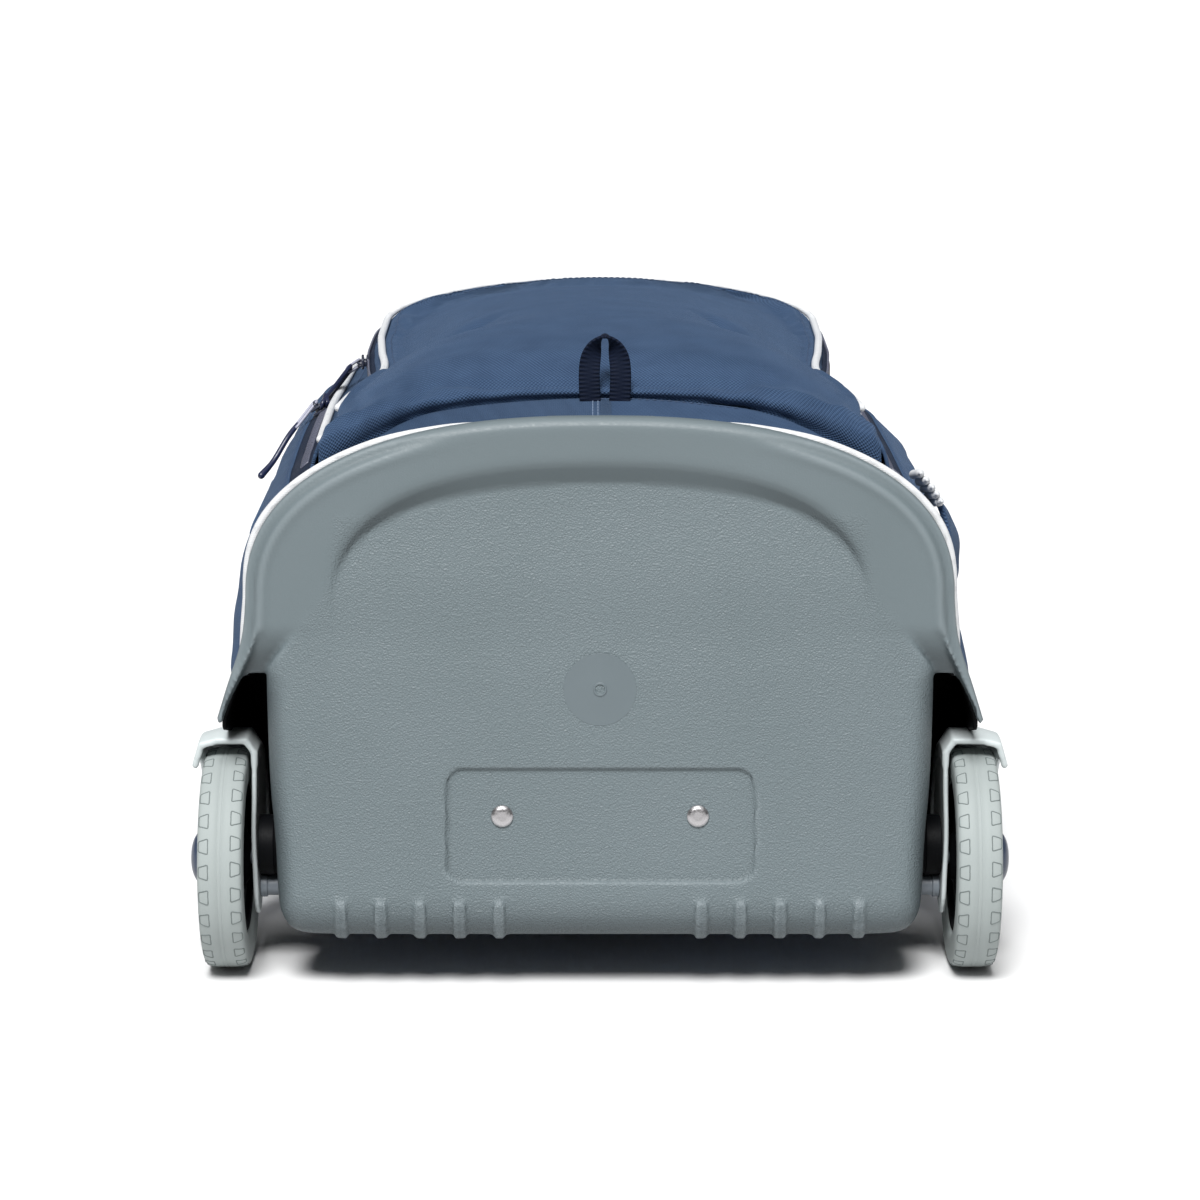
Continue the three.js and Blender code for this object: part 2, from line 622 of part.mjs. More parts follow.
// White piping behind the rim's edge; it dips behind the rim at the top of the arch.
function makeTrayPiping() {
  const y = RIM_BACK_Y + PIPING_RADIUS + 2 * GAP;
  const arch = archPoints(RIM_HALF_WIDTH - 0.4, RIM_TOP_Z - RIM_WAIST_Z - 2, RIM_WAIST_Z, 28);
  const leg = [new THREE.Vector2(158.5, 150), new THREE.Vector2(157.6, 163)];
  const line = [...leg, ...arch.slice(1, -1), ...mirrored(leg)].map((p) => vector(p.x, y, p.y));
  add('tray_piping', tube(line, PIPING_RADIUS, 40), COLOURS.white());
}

// Front pocket sections; the far ones follow the arc of its top edge.
function pocketSections(grow) {
  const straight = POCKET_SECTIONS.map((row) => ({ ...row }));
  const last = straight[straight.length - 1];
  const reach = POCKET_FAR_Y - POCKET_ARC_Y;
  const arc = POCKET_ARC_STEPS.map((share) => ({
    y: POCKET_ARC_Y + share * (reach + grow),
    halfWidth: last.halfWidth * power(1 - share, 1 / POCKET_ARC_POWER),
    edge: THREE.MathUtils.lerp(last.edge, POCKET_FAR_Z, power(share, 0.8)),
    crown: THREE.MathUtils.lerp(last.crown, POCKET_FAR_Z + 1, share),
  }));
  straight[0].y -= grow;
  return [...straight, ...arc];
}

// How far the folds sink the pocket's cloth at a place on its plan.
function foldDepth(x, y) {
  const place = vector(x, y, 0);
  return POCKET_FOLDS.reduce((sum, { from, to, depth, width }) => {
    const fold = new THREE.Line3(vector(...from, 0), vector(...to, 0));
    const distance = fold.closestPointToPoint(place, true, vector(0, 0, 0)).distanceTo(place);
    return sum + depth * Math.exp(-((distance / width) ** 2));
  }, 0);
}

const pocketHeight = (row, x) => {
  const share = THREE.MathUtils.clamp(Math.abs(x) / row.halfWidth, 0, 1);
  const crowned = row.edge + (row.crown - row.edge) * (1 - power(share, 2.2));
  return crowned - foldDepth(x, row.y) * (1 - power(share, 6));
};

// One ring of the pocket: over the crown, down the gusset and back along a floor below.
function pocketRing(row, grow, sink) {
  const steps = 20;
  const top = [];
  for (let i = 0; i <= steps; i++) {
    const share = Math.sin(Math.PI * (i / steps - 0.5));
    top.push(vector((row.halfWidth + grow) * share, row.y, pocketHeight(row, row.halfWidth * share) + grow));
  }
  const foot = [];
  for (let i = steps; i >= 0; i--) {
    const x = (row.halfWidth + POCKET_FLARE + grow) * Math.sin(Math.PI * (i / steps - 0.5));
    foot.push(vector(x, row.y, Math.min(frontHeight(x, row.y) - sink, row.edge - 1 - sink)));
  }
  return [...top, ...foot];
}

function pocketSolid(grow, sink) {
  return solidOf(loft(pocketSections(grow).map((row) => pocketRing(row, grow, sink))));
}

// Outer edge of the pocket seen from above, from the right side round the far end to the left.
function pocketEdge(start, grow, drop) {
  const rows = pocketSections(grow).filter((row) => row.y >= start);
  const right = rows.map((row) => vector(row.halfWidth + grow, row.y, row.edge - drop));
  const far = vector(0, POCKET_FAR_Y + grow, POCKET_FAR_Z - drop);
  const left = right.map((p) => vector(-p.x, p.y, p.z)).reverse();
  return [...right, far, ...left];
}

// A flat strip that stands on edge along a line, with its face turned outwards.
function standingStrip(line, height, thickness) {
  const rings = line.map((p, i) => {
    const ahead = line[Math.min(i + 1, line.length - 1)];
    const behind = line[Math.max(i - 1, 0)];
    const out = vector(ahead.y - behind.y, behind.x - ahead.x, 0).normalize().multiplyScalar(thickness);
    const low = p.clone().add(vector(0, 0, -height / 2));
    const high = p.clone().add(vector(0, 0, height / 2));
    return [low, low.clone().add(out), high.clone().add(out), high];
  });
  return loft(rings.reverse());
}

function makeFrontPocket() {
  const bodyRoom = bodySolid(GAP, 0);
  const cloth = pocketSolid(0, 6).subtract(pocketSolid(-POCKET_CLOTH, 14)).subtract(bodyRoom);
  add('front_pocket', cloth, COLOURS.navy());
  const zipMiddle = POCKET_ZIP_DROP + POCKET_ZIP_HEIGHT / 2;
  const zipLine = pocketEdge(POCKET_ZIP_START_Y, POCKET_FLARE / 2 + GAP, zipMiddle);
  const zip = solidOf(standingStrip(zipLine, POCKET_ZIP_HEIGHT, POCKET_ZIP_THICKNESS));
  add('pocket_zip', zip.subtract(pocketSolid(GAP, 6)).subtract(bodyRoom), COLOURS.navyDark());
  const lift = PIPING_RADIUS + 2 * GAP;
  const pipingLine = pocketEdge(POCKET_PIPING_START_Y, POCKET_PIPING_OUT * lift, -POCKET_PIPING_UP * lift);
  add('pocket_piping', tube(pipingLine, PIPING_RADIUS, 40), COLOURS.white());
}

// Webbing loop: two legs side by side under a pointed fold.
function makeHaulLoop() {
  const half = LOOP_WIDTH / 2;
  const shape = new THREE.Shape();
  shape.moveTo(-half, 0);
  shape.lineTo(half, 0);
  shape.lineTo(half, LOOP_SHOULDER);
  shape.quadraticCurveTo(half * 0.7, LOOP_HEIGHT, 0, LOOP_HEIGHT);
  shape.quadraticCurveTo(-half * 0.7, LOOP_HEIGHT, -half, LOOP_SHOULDER);
  const slit = new THREE.Path();
  slit.moveTo(-LOOP_SLIT / 2, LOOP_SLIT_BOTTOM);
  slit.lineTo(-LOOP_SLIT / 2, LOOP_SHOULDER);
  slit.lineTo(0, LOOP_HEIGHT - LOOP_THICKNESS);
  slit.lineTo(LOOP_SLIT / 2, LOOP_SHOULDER);
  slit.lineTo(LOOP_SLIT / 2, LOOP_SLIT_BOTTOM);
  shape.holes.push(slit);
  const loop = plateXZ(shape, LOOP_Y - LOOP_THICKNESS, LOOP_Y);
  loop.translate(0, 0, read(BODY_SECTIONS, LOOP_Y, 'top') + GAP);
  add('haul_loop', loop, COLOURS.navyDark());
}

// A zip slider with a moulded bar on it, as one piece. The slider lies flat against a face.
function zipPull(name, slider, normal, route) {
  const body = new THREE.BoxGeometry(...SLIDER_SIZE);
  const turn = new THREE.Quaternion().setFromUnitVectors(vector(0, 0, 1), normal);
  body.applyQuaternion(turn);
  body.translate(slider.x, slider.y, slider.z);
  const bar = tube(route, PULL_RADIUS, 10);
  add(name, solidOf(body).add(solidOf(bar)), COLOURS.navyDark());
}

function makeZipPulls() {
  const lift = GAP + SLIDER_SIZE[2] / 2;
  const zipMiddle = (PANEL_SHARE + ZIP_SHARE) / 2 + 0.01;
  const onPlan = (share, y) => ({ x: -share * read(BODY_SECTIONS, y, 'halfWidth'), y });
  const [foot, slider, hinge] = [0, lift - ZIP_SINK, lift + PULL_RADIUS].map((height) => (
    raisedOnFront([onPlan(zipMiddle, MAIN_SLIDER_Y)], height)[0]
  ));
  const [knee] = raisedOnFront([onPlan(ZIP_SHARE + 0.02, MAIN_SLIDER_Y - 6)], lift + PULL_RADIUS);
  const upward = hinge.clone().sub(foot).normalize();
  zipPull('main_zip_pull', slider, upward, [hinge, knee, vector(...MAIN_PULL_TIP)]);
  const stripX = read(POCKET_SECTIONS, POCKET_SLIDER_Y, 'halfWidth') + POCKET_FLARE / 2 + GAP
    + POCKET_ZIP_THICKNESS;
  const stripZ = read(POCKET_SECTIONS, POCKET_SLIDER_Y, 'edge') - POCKET_ZIP_DROP - POCKET_ZIP_HEIGHT / 2;
  const onGusset = vector(-stripX - lift, POCKET_SLIDER_Y, stripZ);
  const start = onGusset.clone().add(vector(-PULL_RADIUS, -3, 0));
  const bend = onGusset.clone().add(vector(-8, -14, -3));
  const step = 5;
  const lean = (read(POCKET_SECTIONS, POCKET_SLIDER_Y + step, 'halfWidth')
    - read(POCKET_SECTIONS, POCKET_SLIDER_Y - step, 'halfWidth')) / (2 * step);
  const outward = vector(-1, -lean, 0).normalize();
  zipPull('pocket_zip_pull', onGusset, outward, [start, bend, vector(...POCKET_PULL_TIP)]);
  const far = new THREE.BoxGeometry(...FAR_SLIDER_SIZE);
  far.rotateZ(FAR_SLIDER_TURN);
  far.translate(...FAR_SLIDER_PLACE);
  add('pocket_zip_slider_far', far, COLOURS.navyDark());
}

// A pouch on the body's side: closed towards the tray, open towards the top end.
function makePouches() {
  const bodyRoom = bodySolid(GAP, 0);
  const rings = (pouch, inset, from, to) => {
    const steps = 10;
    const rows = [0, 0.05, 0.15, 0.3, 0.6, 1];
    return rows.map((row) => {
      const y = from + row * (to - from);
      const swell = power(Math.sin(Math.min(row / 0.3, 1) * Math.PI / 2), 0.7);
      const outer = [];
      const inner = [];
      for (let i = 0; i <= steps; i++) {
        const share = i / steps;
        const z = THREE.MathUtils.lerp(pouch.bottom + inset, pouch.top - inset, share);
        const bulge = (pouch.bulge - inset) * swell * power(Math.sin(Math.PI * share), 0.7);
        outer.push(vector(pouch.side * (sideWidth(y, z) + GAP + 0.8 - inset * 0.4 + bulge), y, z));
        inner.unshift(vector(pouch.side * (sideWidth(y, z) - 6 - inset), y, z));
      }
      return pouch.side > 0 ? [...outer, ...inner].reverse() : [...outer, ...inner];
    });
  };
  for (const pouch of POUCHES) {
    const whole = solidOf(loft(rings(pouch, 0, pouch.start, pouch.mouth)));
    const room = solidOf(loft(rings(pouch, POUCH_CLOTH, pouch.start + POUCH_CLOTH, pouch.mouth + 10)));
    add(pouch.name, whole.subtract(room).subtract(bodyRoom), COLOURS.navy());
  }
}

// White gathered elastic: rolls side by side, following the body's section.
function makeGather() {
  const [start, end] = GATHER_Y;
  const middle = (start + end) / 2;
  const rolls = [];
  for (let i = 0; i < GATHER_ROLLS; i++) {
    const z = GATHER_TOP_Z - i * GATHER_PITCH * 0.8;
    const x = sideWidth(middle, z) + GATHER_RADIUS * 1.5;
    const roll = new THREE.CapsuleGeometry(GATHER_RADIUS, end - start, 1, 6);
    roll.translate(x, middle, z);
    rolls.push(solidOf(roll));
  }
  add('gathered_elastic_right', join(...rolls).subtract(bodySolid(GAP, 0)), COLOURS.white());
}

// Wheel guard: an arch over the tyre, a short outer skirt and a plate down past the axle.
function fenderSolid() {
  const outer = FENDER_INNER_RADIUS + FENDER_WALL;
  const [front, back] = [degrees(FENDER_FRONT_ANGLE), degrees(FENDER_BACK_ANGLE)];
  const ring = (inner, rim) => {
    const shape = new THREE.Shape();
    shape.absarc(AXLE_Y, AXLE_Z, rim, back, front, false);
    shape.absarc(AXLE_Y, AXLE_Z, inner, front, back, true);
    return shape;
  };
  const plate = new THREE.Shape();
  plate.absarc(AXLE_Y, AXLE_Z, outer, degrees(10), front, false);
  plate.lineTo(AXLE_Y - FENDER_TIP_RADIUS, AXLE_Z);
  plate.absarc(AXLE_Y, FENDER_TIP_Z + FENDER_TIP_RADIUS, FENDER_TIP_RADIUS, Math.PI, 2 * Math.PI, false);
  const hole = new THREE.Path();
  hole.absarc(AXLE_Y, AXLE_Z, AXLE_RADIUS + BORE_CLEARANCE, 0, 2 * Math.PI, true);
  plate.holes.push(hole);
  const skirt = ring(FENDER_INNER_RADIUS + FENDER_WALL - FENDER_SKIRT_DEPTH, outer);
  return join(
    solidOf(plateYZ(plate, FENDER_PLATE_X, FENDER_PLATE_X + FENDER_WALL)),
    solidOf(plateYZ(ring(FENDER_INNER_RADIUS, outer), FENDER_PLATE_X, FENDER_OUTER_X)),
    solidOf(plateYZ(skirt, FENDER_OUTER_X - FENDER_WALL, FENDER_OUTER_X)),
  );
}

// Stepped boss, post and axle pin, as profiles of radius and X.
function bossProfile() {
  const profile = [[0, WELL_SIDE_X + GAP]];
  let x = WELL_SIDE_X + GAP;
  for (const { radius, length } of BOSS_STEPS) {
    profile.push([radius, x]);
    x = Math.min(x + length, FENDER_PLATE_X - GAP);
    profile.push([radius, x]);
  }
  profile.push([0, x]);
  return profile;
}

function postProfile() {
  const [start, end] = [WELL_SIDE_X + GAP, FENDER_PLATE_X - GAP];
  return [[0, start], [POST_RADIUS, start], [POST_RADIUS, end - POST_COLLAR_LENGTH],
    [POST_COLLAR_RADIUS, end - POST_COLLAR_LENGTH], [POST_COLLAR_RADIUS, end], [0, end]];
}

// Wheel: tyre, hub and domed cap, turned about the axle.
function wheelProfiles() {
  const apothem = Math.cos(Math.PI / WHEEL_SIDES);
  const rim = WHEEL_RADIUS / apothem;
  const [low, high] = [WHEEL_X - TYRE_WIDTH / 2, WHEEL_X + TYRE_WIDTH / 2];
  const shoulder = rim - TYRE_SHOULDER * 0.35;
  const tyre = [[TYRE_BORE, low + 2], [rim - 3 * TYRE_SHOULDER, low], [rim - TYRE_SHOULDER, low + 0.6],
    [shoulder, low + TYRE_SHOULDER * 0.6], [rim, low + TYRE_SHOULDER * 1.2],
    [rim, high - TYRE_SHOULDER * 1.2], [shoulder, high - TYRE_SHOULDER * 0.6],
    [rim - TYRE_SHOULDER, high - 0.6], [rim - 3 * TYRE_SHOULDER, high], [TYRE_BORE, high - 2],
    [TYRE_BORE, low + 2]];
  const bore = AXLE_RADIUS + BORE_CLEARANCE;
  const [inside, outside] = [WHEEL_X - HUB_HALF_WIDTH, WHEEL_X + HUB_HALF_WIDTH];
  const seat = TYRE_BORE - GAP;
  const hub = [[bore, inside - 1.5], [9, inside - 1.5], [seat - 5, inside + 2], [seat, inside],
    [seat, outside], [seat - 5, outside - 2], [HUB_CAP_RADIUS, outside], [bore, outside],
    [bore, inside - 1.5]];
  const capSteps = 4;
  const base = outside + GAP;
  const cap = [[0, base]];
  for (let i = 0; i <= capSteps; i++) {
    const angle = Math.PI / 2 * i / capSteps;
    const radius = i === capSteps ? 0 : HUB_CAP_RADIUS * Math.cos(angle);
    cap.push([radius, base + (HUB_CAP_TIP_X - base) * Math.sin(angle)]);
  }
  return { tyre, hub, cap };
}

// Both wheels with what carries them. The left side is the right one turned half round.
function makeWheels() {
  const { tyre, hub, cap } = wheelProfiles();
  const start = Math.PI / WHEEL_SIDES;
  const at = (geometry, z) => geometry.translate(0, AXLE_Y, z);
  const mirror = (solid) => solid.mirror([1, 0, 0]);
  const pieces = {
    fender: [fenderSolid(), COLOURS.guard],
    wheel_boss: [solidOf(at(turned(bossProfile(), 18), BOSS_Z)), COLOURS.black],
    fender_post: [solidOf(at(turned(postProfile(), 12), POST_Z)), COLOURS.post],
    axle: [solidOf(at(turned([[0, FENDER_PLATE_X], [AXLE_RADIUS, FENDER_PLATE_X],
      [AXLE_RADIUS, WHEEL_X + HUB_HALF_WIDTH], [0, WHEEL_X + HUB_HALF_WIDTH]], 16), AXLE_Z)), COLOURS.steel],
    tyre: [solidOf(at(turned(tyre, WHEEL_SIDES, start), AXLE_Z)), COLOURS.tyre],
    hub: [solidOf(at(turned(hub, WHEEL_SIDES, start), AXLE_Z)), COLOURS.black],
    hub_cap: [solidOf(at(turned(cap, 16), AXLE_Z)), COLOURS.cap],
  };
  for (const [name, [solid, colour]] of Object.entries(pieces)) {
    add(`${name}_right`, solid, colour());
    add(`${name}_left`, mirror(solid), colour());
  }
}

// Pull handle, pushed in: a round grip on two short legs.
function makeHandle() {
  const gripStraight = HANDLE_GRIP_LENGTH - 2 * HANDLE_GRIP_RADIUS;
  const grip = new THREE.CapsuleGeometry(HANDLE_GRIP_RADIUS, gripStraight, 4, 14);
  grip.rotateZ(Math.PI / 2);
  grip.translate(0, HANDLE_GRIP_Y, HANDLE_Z);
  const legs = [-1, 1].map((side) => {
    const leg = new THREE.CylinderGeometry(HANDLE_LEG_RADIUS, HANDLE_LEG_RADIUS, 60, 14);
    leg.translate(side * HANDLE_SPACING / 2, HANDLE_GRIP_Y - 30, HANDLE_Z);
    return solidOf(leg);
  });
  const outside = bodySolid(GAP, 0);
  add('pull_handle', join(solidOf(grip), ...legs).subtract(outside), COLOURS.black());
}

makeBody();
makeWellLiners();
makeTray();
makeTrayPiping();
makeFrontPocket();
makeHaulLoop();
makeZipPulls();
makePouches();
makeGather();
makeWheels();
makeHandle();

// The origin lies on the floor, under the middle of the bag's length.
const bounds = new THREE.Box3().setFromObject(parts);
parts.position.y = -(bounds.min.y + bounds.max.y) / 2;

const bag = new THREE.Group();
bag.add(parts);
export default bag;
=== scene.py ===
# %% [markdown]
# A wheeled bag lying on its back, seen from its moulded bottom tray.
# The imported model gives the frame: which piece sits where, and what turns. Every visible piece is
# made again here with finer shapes and finishes, in the same place, and rides on its CAD body.

# %% Load the frame
import json
import math

import bmesh
import bpy
import numpy as np
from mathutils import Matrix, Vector, noise
from mathutils.bvhtree import BVHTree

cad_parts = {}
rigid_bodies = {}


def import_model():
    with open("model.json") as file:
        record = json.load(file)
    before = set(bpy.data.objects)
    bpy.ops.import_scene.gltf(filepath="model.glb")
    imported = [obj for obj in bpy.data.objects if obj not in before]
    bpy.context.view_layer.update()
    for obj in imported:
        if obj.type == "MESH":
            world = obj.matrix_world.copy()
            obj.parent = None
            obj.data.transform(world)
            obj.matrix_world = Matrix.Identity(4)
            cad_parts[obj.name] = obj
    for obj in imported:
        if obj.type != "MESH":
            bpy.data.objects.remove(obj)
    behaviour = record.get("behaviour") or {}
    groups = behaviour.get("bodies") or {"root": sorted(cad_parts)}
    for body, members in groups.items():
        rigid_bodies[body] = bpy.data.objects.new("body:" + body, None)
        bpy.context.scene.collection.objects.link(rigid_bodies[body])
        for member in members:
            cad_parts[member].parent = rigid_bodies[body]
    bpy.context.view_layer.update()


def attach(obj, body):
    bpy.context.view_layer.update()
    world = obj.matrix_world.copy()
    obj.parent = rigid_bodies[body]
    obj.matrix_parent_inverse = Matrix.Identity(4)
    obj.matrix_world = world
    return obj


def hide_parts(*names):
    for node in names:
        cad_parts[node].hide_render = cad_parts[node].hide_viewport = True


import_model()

# %% [markdown]
# The sizes below are millimetres from the tray: X across the bag, Y from the tray to the top end,
# Z up from the floor. The frame is in metres and has its origin under the middle of the bag, so
# one function turns the one into the other. Finished objects stay at the origin, and their place
# is in their mesh.

# %% From millimetres to the frame
TRAY_TO_MIDDLE = 270.2426
MM = 0.001


def place(points):
    moved = np.array(points, float).reshape(-1, 3)
    moved[:, 1] -= TRAY_TO_MIDDLE
    return moved * MM


def piece_from(name, points, faces, smooth=True):
    mesh = bpy.data.meshes.new(name)
    mesh.from_pydata(place(points).tolist(), [], [list(map(int, face)) for face in faces])
    mesh.validate()
    if smooth:
        mesh.shade_smooth()
    else:
        mesh.shade_flat()
    piece = bpy.data.objects.new(name, mesh)
    bpy.context.scene.collection.objects.link(piece)
    return piece


def fit(piece, finish, slot, *nodes, body="bag"):
    """Gives a piece its finish, the body it rides on and the CAD nodes it stands for."""
    if not piece.data.materials:
        piece.data.materials.append(finish)
    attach(piece, body)
    if nodes:
        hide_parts(*nodes)
    print(f"{piece.name}: {len(piece.data.vertices)} points, {len(piece.data.polygons)} faces on {body}")


# %% [markdown]
# The camera comes first. The photograph was taken with a long lens, a little above the bag and looking down
# eleven degrees at the tray. The lens is the focal length in pixels over the image's 1200 pixels, times the
# sensor's width.

# %% Camera
SENSOR = 36
PHOTO_PIXELS, FOCAL_PIXELS = 1200, 3832
CAMERA_AT, LOOK_DOWN = (0, -1.91974, 0.4991), 11
camera = bpy.data.objects.new("camera", bpy.data.cameras.new("camera"))
camera.data.sensor_width = SENSOR
camera.data.lens = FOCAL_PIXELS / PHOTO_PIXELS * SENSOR
camera.data.clip_end = 100
camera.location = CAMERA_AT
camera.rotation_euler = (math.radians(90 - LOOK_DOWN), 0, 0)
bpy.context.scene.collection.objects.link(camera)
bpy.context.scene.camera = camera
print("lens", round(camera.data.lens, 2), "mm")

# %% [markdown]
# The stage is a plain pale floor under a faint even sky, as in a white studio. Most of the light is a
# wide sun from above and in front, which shades the tray gently and gives the floor its soft shadow. A
# second sun, so wide that it has no edge, lifts the cloth from straight above.

# %% Stage and light
floor_mesh = bpy.data.meshes.new("floor")
FLOOR = 30
floor_mesh.from_pydata([(-FLOOR, -FLOOR, 0), (FLOOR, -FLOOR, 0), (FLOOR, FLOOR, 0), (-FLOOR, FLOOR, 0)],
                       [], [(0, 1, 2, 3)])
floor = bpy.data.objects.new("floor", floor_mesh)
floor.location.z = -0.0004
bpy.context.scene.collection.objects.link(floor)
pale = bpy.data.materials.new("pale_floor")
pale.use_nodes = True
for socket, value in (("Base Color", (0.74, 0.74, 0.74, 1)), ("Roughness", 0.9), ("Specular IOR Level", 0.1)):
    pale.node_tree.nodes["Principled BSDF"].inputs[socket].default_value = value
floor_mesh.materials.append(pale)

world = bpy.data.worlds.new("studio")
world.use_nodes = True
world.node_tree.nodes["Background"].inputs["Color"].default_value = (1, 1, 1, 1)
world.node_tree.nodes["Background"].inputs["Strength"].default_value = 0.14
bpy.context.scene.world = world
bpy.context.scene.view_settings.view_transform = "Standard"


def add_sun(name, strength, spread, towards):
    light = bpy.data.lights.new(name, "SUN")
    light.energy = strength
    light.angle = math.radians(spread)
    sun = bpy.data.objects.new(name, light)
    sun.rotation_euler = Vector(towards).to_track_quat("-Z", "Y").to_euler()
    bpy.context.scene.collection.objects.link(sun)
    return sun


add_sun("key_light", 5.1, 22, (0.13, 1, -1.3))
add_sun("top_light", 0.8, 80, (0.05, 0.1, -1))
print("stage: floor, sky and two suns")

# %% [markdown]
# Hard moulded pieces have soft, rolled edges everywhere. Box modelling would need a bevel on each
# edge; instead a piece is described as a field, a number for every place that is negative inside the
# plastic. Fields join, cut and round each other with a few formulas, and the piece's skin is laid
# where the number changes sign, one corner for each small cell that the surface passes through.

# %% The skin of a field
def skin(field, low, high, cell):
    axes = [np.arange(a - 2 * cell, b + 3 * cell, cell) for a, b in zip(low, high)]
    value = field(*np.meshgrid(*axes, indexing="ij", sparse=True))
    value = np.array(np.broadcast_to(value, [len(a) for a in axes]))
    inside = value < 0
    size = [n - 1 for n in value.shape]
    filled = np.zeros(size, np.int8)
    for i, j, k in np.ndindex(2, 2, 2):
        filled += inside[i:i + size[0], j:j + size[1], k:k + size[2]]
    crossed = (filled > 0) & (filled < 8)
    number = np.cumsum(crossed).reshape(size) - 1
    cells = np.argwhere(crossed)
    total, hits = np.zeros(cells.shape), np.zeros(len(cells))
    for axis in range(3):
        u, v = (axis + 1) % 3, (axis + 2) % 3
        for i, j in np.ndindex(2, 2):
            start = cells.copy()
            start[:, u] += i
            start[:, v] += j
            end = start.copy()
            end[:, axis] += 1
            a, b = value[tuple(start.T)], value[tuple(end.T)]
            cut = (a < 0) != (b < 0)
            point = start.astype(float)
            point[:, axis] += np.where(cut, a / np.where(cut, a - b, 1), 0)
            total[cut] += point[cut]
            hits += cut
    points = total / hits[:, None] * cell + [a[0] for a in axes]
    faces = []
    for axis in range(3):
        u, v = (axis + 1) % 3, (axis + 2) % 3
        count = value.shape[axis]
        starts, ends = np.take(inside, range(count - 1), axis), np.take(inside, range(1, count), axis)
        edges = np.argwhere(starts != ends)
        ring = []
        for i, j in ((1, 1), (0, 1), (0, 0), (1, 0)):
            around = edges.copy()
            around[:, u] -= i
            around[:, v] -= j
            ring.append(number[tuple(around.T)])
        ring = np.stack(ring, 1)
        outward = starts[tuple(edges.T)]
        faces.append(np.where(outward[:, None], ring, ring[:, ::-1]))
    return points, np.concatenate(faces)


def rounded_meet(a, b, radius):
    """Inside both shapes, with a rounded edge between them."""
    a, b = a + radius, b + radius
    return np.minimum(np.maximum(a, b), 0) + np.hypot(np.maximum(a, 0), np.maximum(b, 0)) - radius


def soft_join(a, b, blend):
    """Inside either shape, with a fillet between them."""
    near = np.maximum(blend - np.abs(a - b), 0) / blend
    return np.minimum(a, b) - near * near * blend / 4


def soft_cut(a, b, blend):
    return -soft_join(-a, b, blend)


def ease(low, high, value):
    share = np.clip((value - low) / (high - low), 0, 1)
    return share * share * (3 - 2 * share)


def line_distance(line, x, z):
    """Distance to an open line of points in a plane."""
    best = np.full(np.broadcast(x, z).shape, 1e12)
    for (ax, az), (bx, bz) in zip(line, line[1:]):
        ex, ez = bx - ax, bz - az
        share = np.clip(((x - ax) * ex + (z - az) * ez) / (ex * ex + ez * ez + 1e-12), 0, 1)
        best = np.minimum(best, (x - ax - share * ex) ** 2 + (z - az - share * ez) ** 2)
    return np.sqrt(best)


def outline_distance(outline, x, z):
    """Distance to a closed outline in a plane, negative inside it."""
    closed = outline + outline[:1]
    distance = line_distance(closed, x, z)
    inside = np.zeros(distance.shape, bool)
    for (ax, az), (bx, bz) in zip(closed, closed[1:]):
        if bz != az:
            inside ^= ((az > z) != (bz > z)) & (x < ax + (z - az) / (bz - az) * (bx - ax))
    return np.where(inside, -distance, distance)


def half_arch(half_width, rise, waist, power, steps=48):
    """Right half of a superellipse arch, from its top down to its waist."""
    angles = np.linspace(math.pi / 2, 0, steps + 1)
    x = half_width * np.clip(np.cos(angles), 0, 1) ** (2 / power)
    z = waist + rise * np.sin(angles) ** (2 / power)
    return [(float(a), float(b)) for a, b in zip(x, z)]


def cut_corners(points, times=2):
    """Rounds an open line by cutting its corners; its ends stay."""
    line = np.array(points, float)
    for _ in range(times):
        first, second = 0.75 * line[:-1] + 0.25 * line[1:], 0.25 * line[:-1] + 0.75 * line[1:]
        middle = np.stack([first, second], 1).reshape(-1, line.shape[1])
        line = np.concatenate([line[:1], middle[1:-1], line[-1:]])
    return line


# %% [markdown]
# Finishes are node materials. Each one starts from the shader that Blender makes, with a colour
# given as the sRGB numbers one would pick from a screen, and gets its own grain, weave or wear.
# Patterns read Object coordinates in metres or, on cloth, each point's place on the flat cloth.

# %% Finish helpers
def linear(r, g, b):
    def channel(v):
        v /= 255
        return v / 12.92 if v <= 0.04045 else ((v + 0.055) / 1.055) ** 2.4
    return (channel(r), channel(g), channel(b), 1)


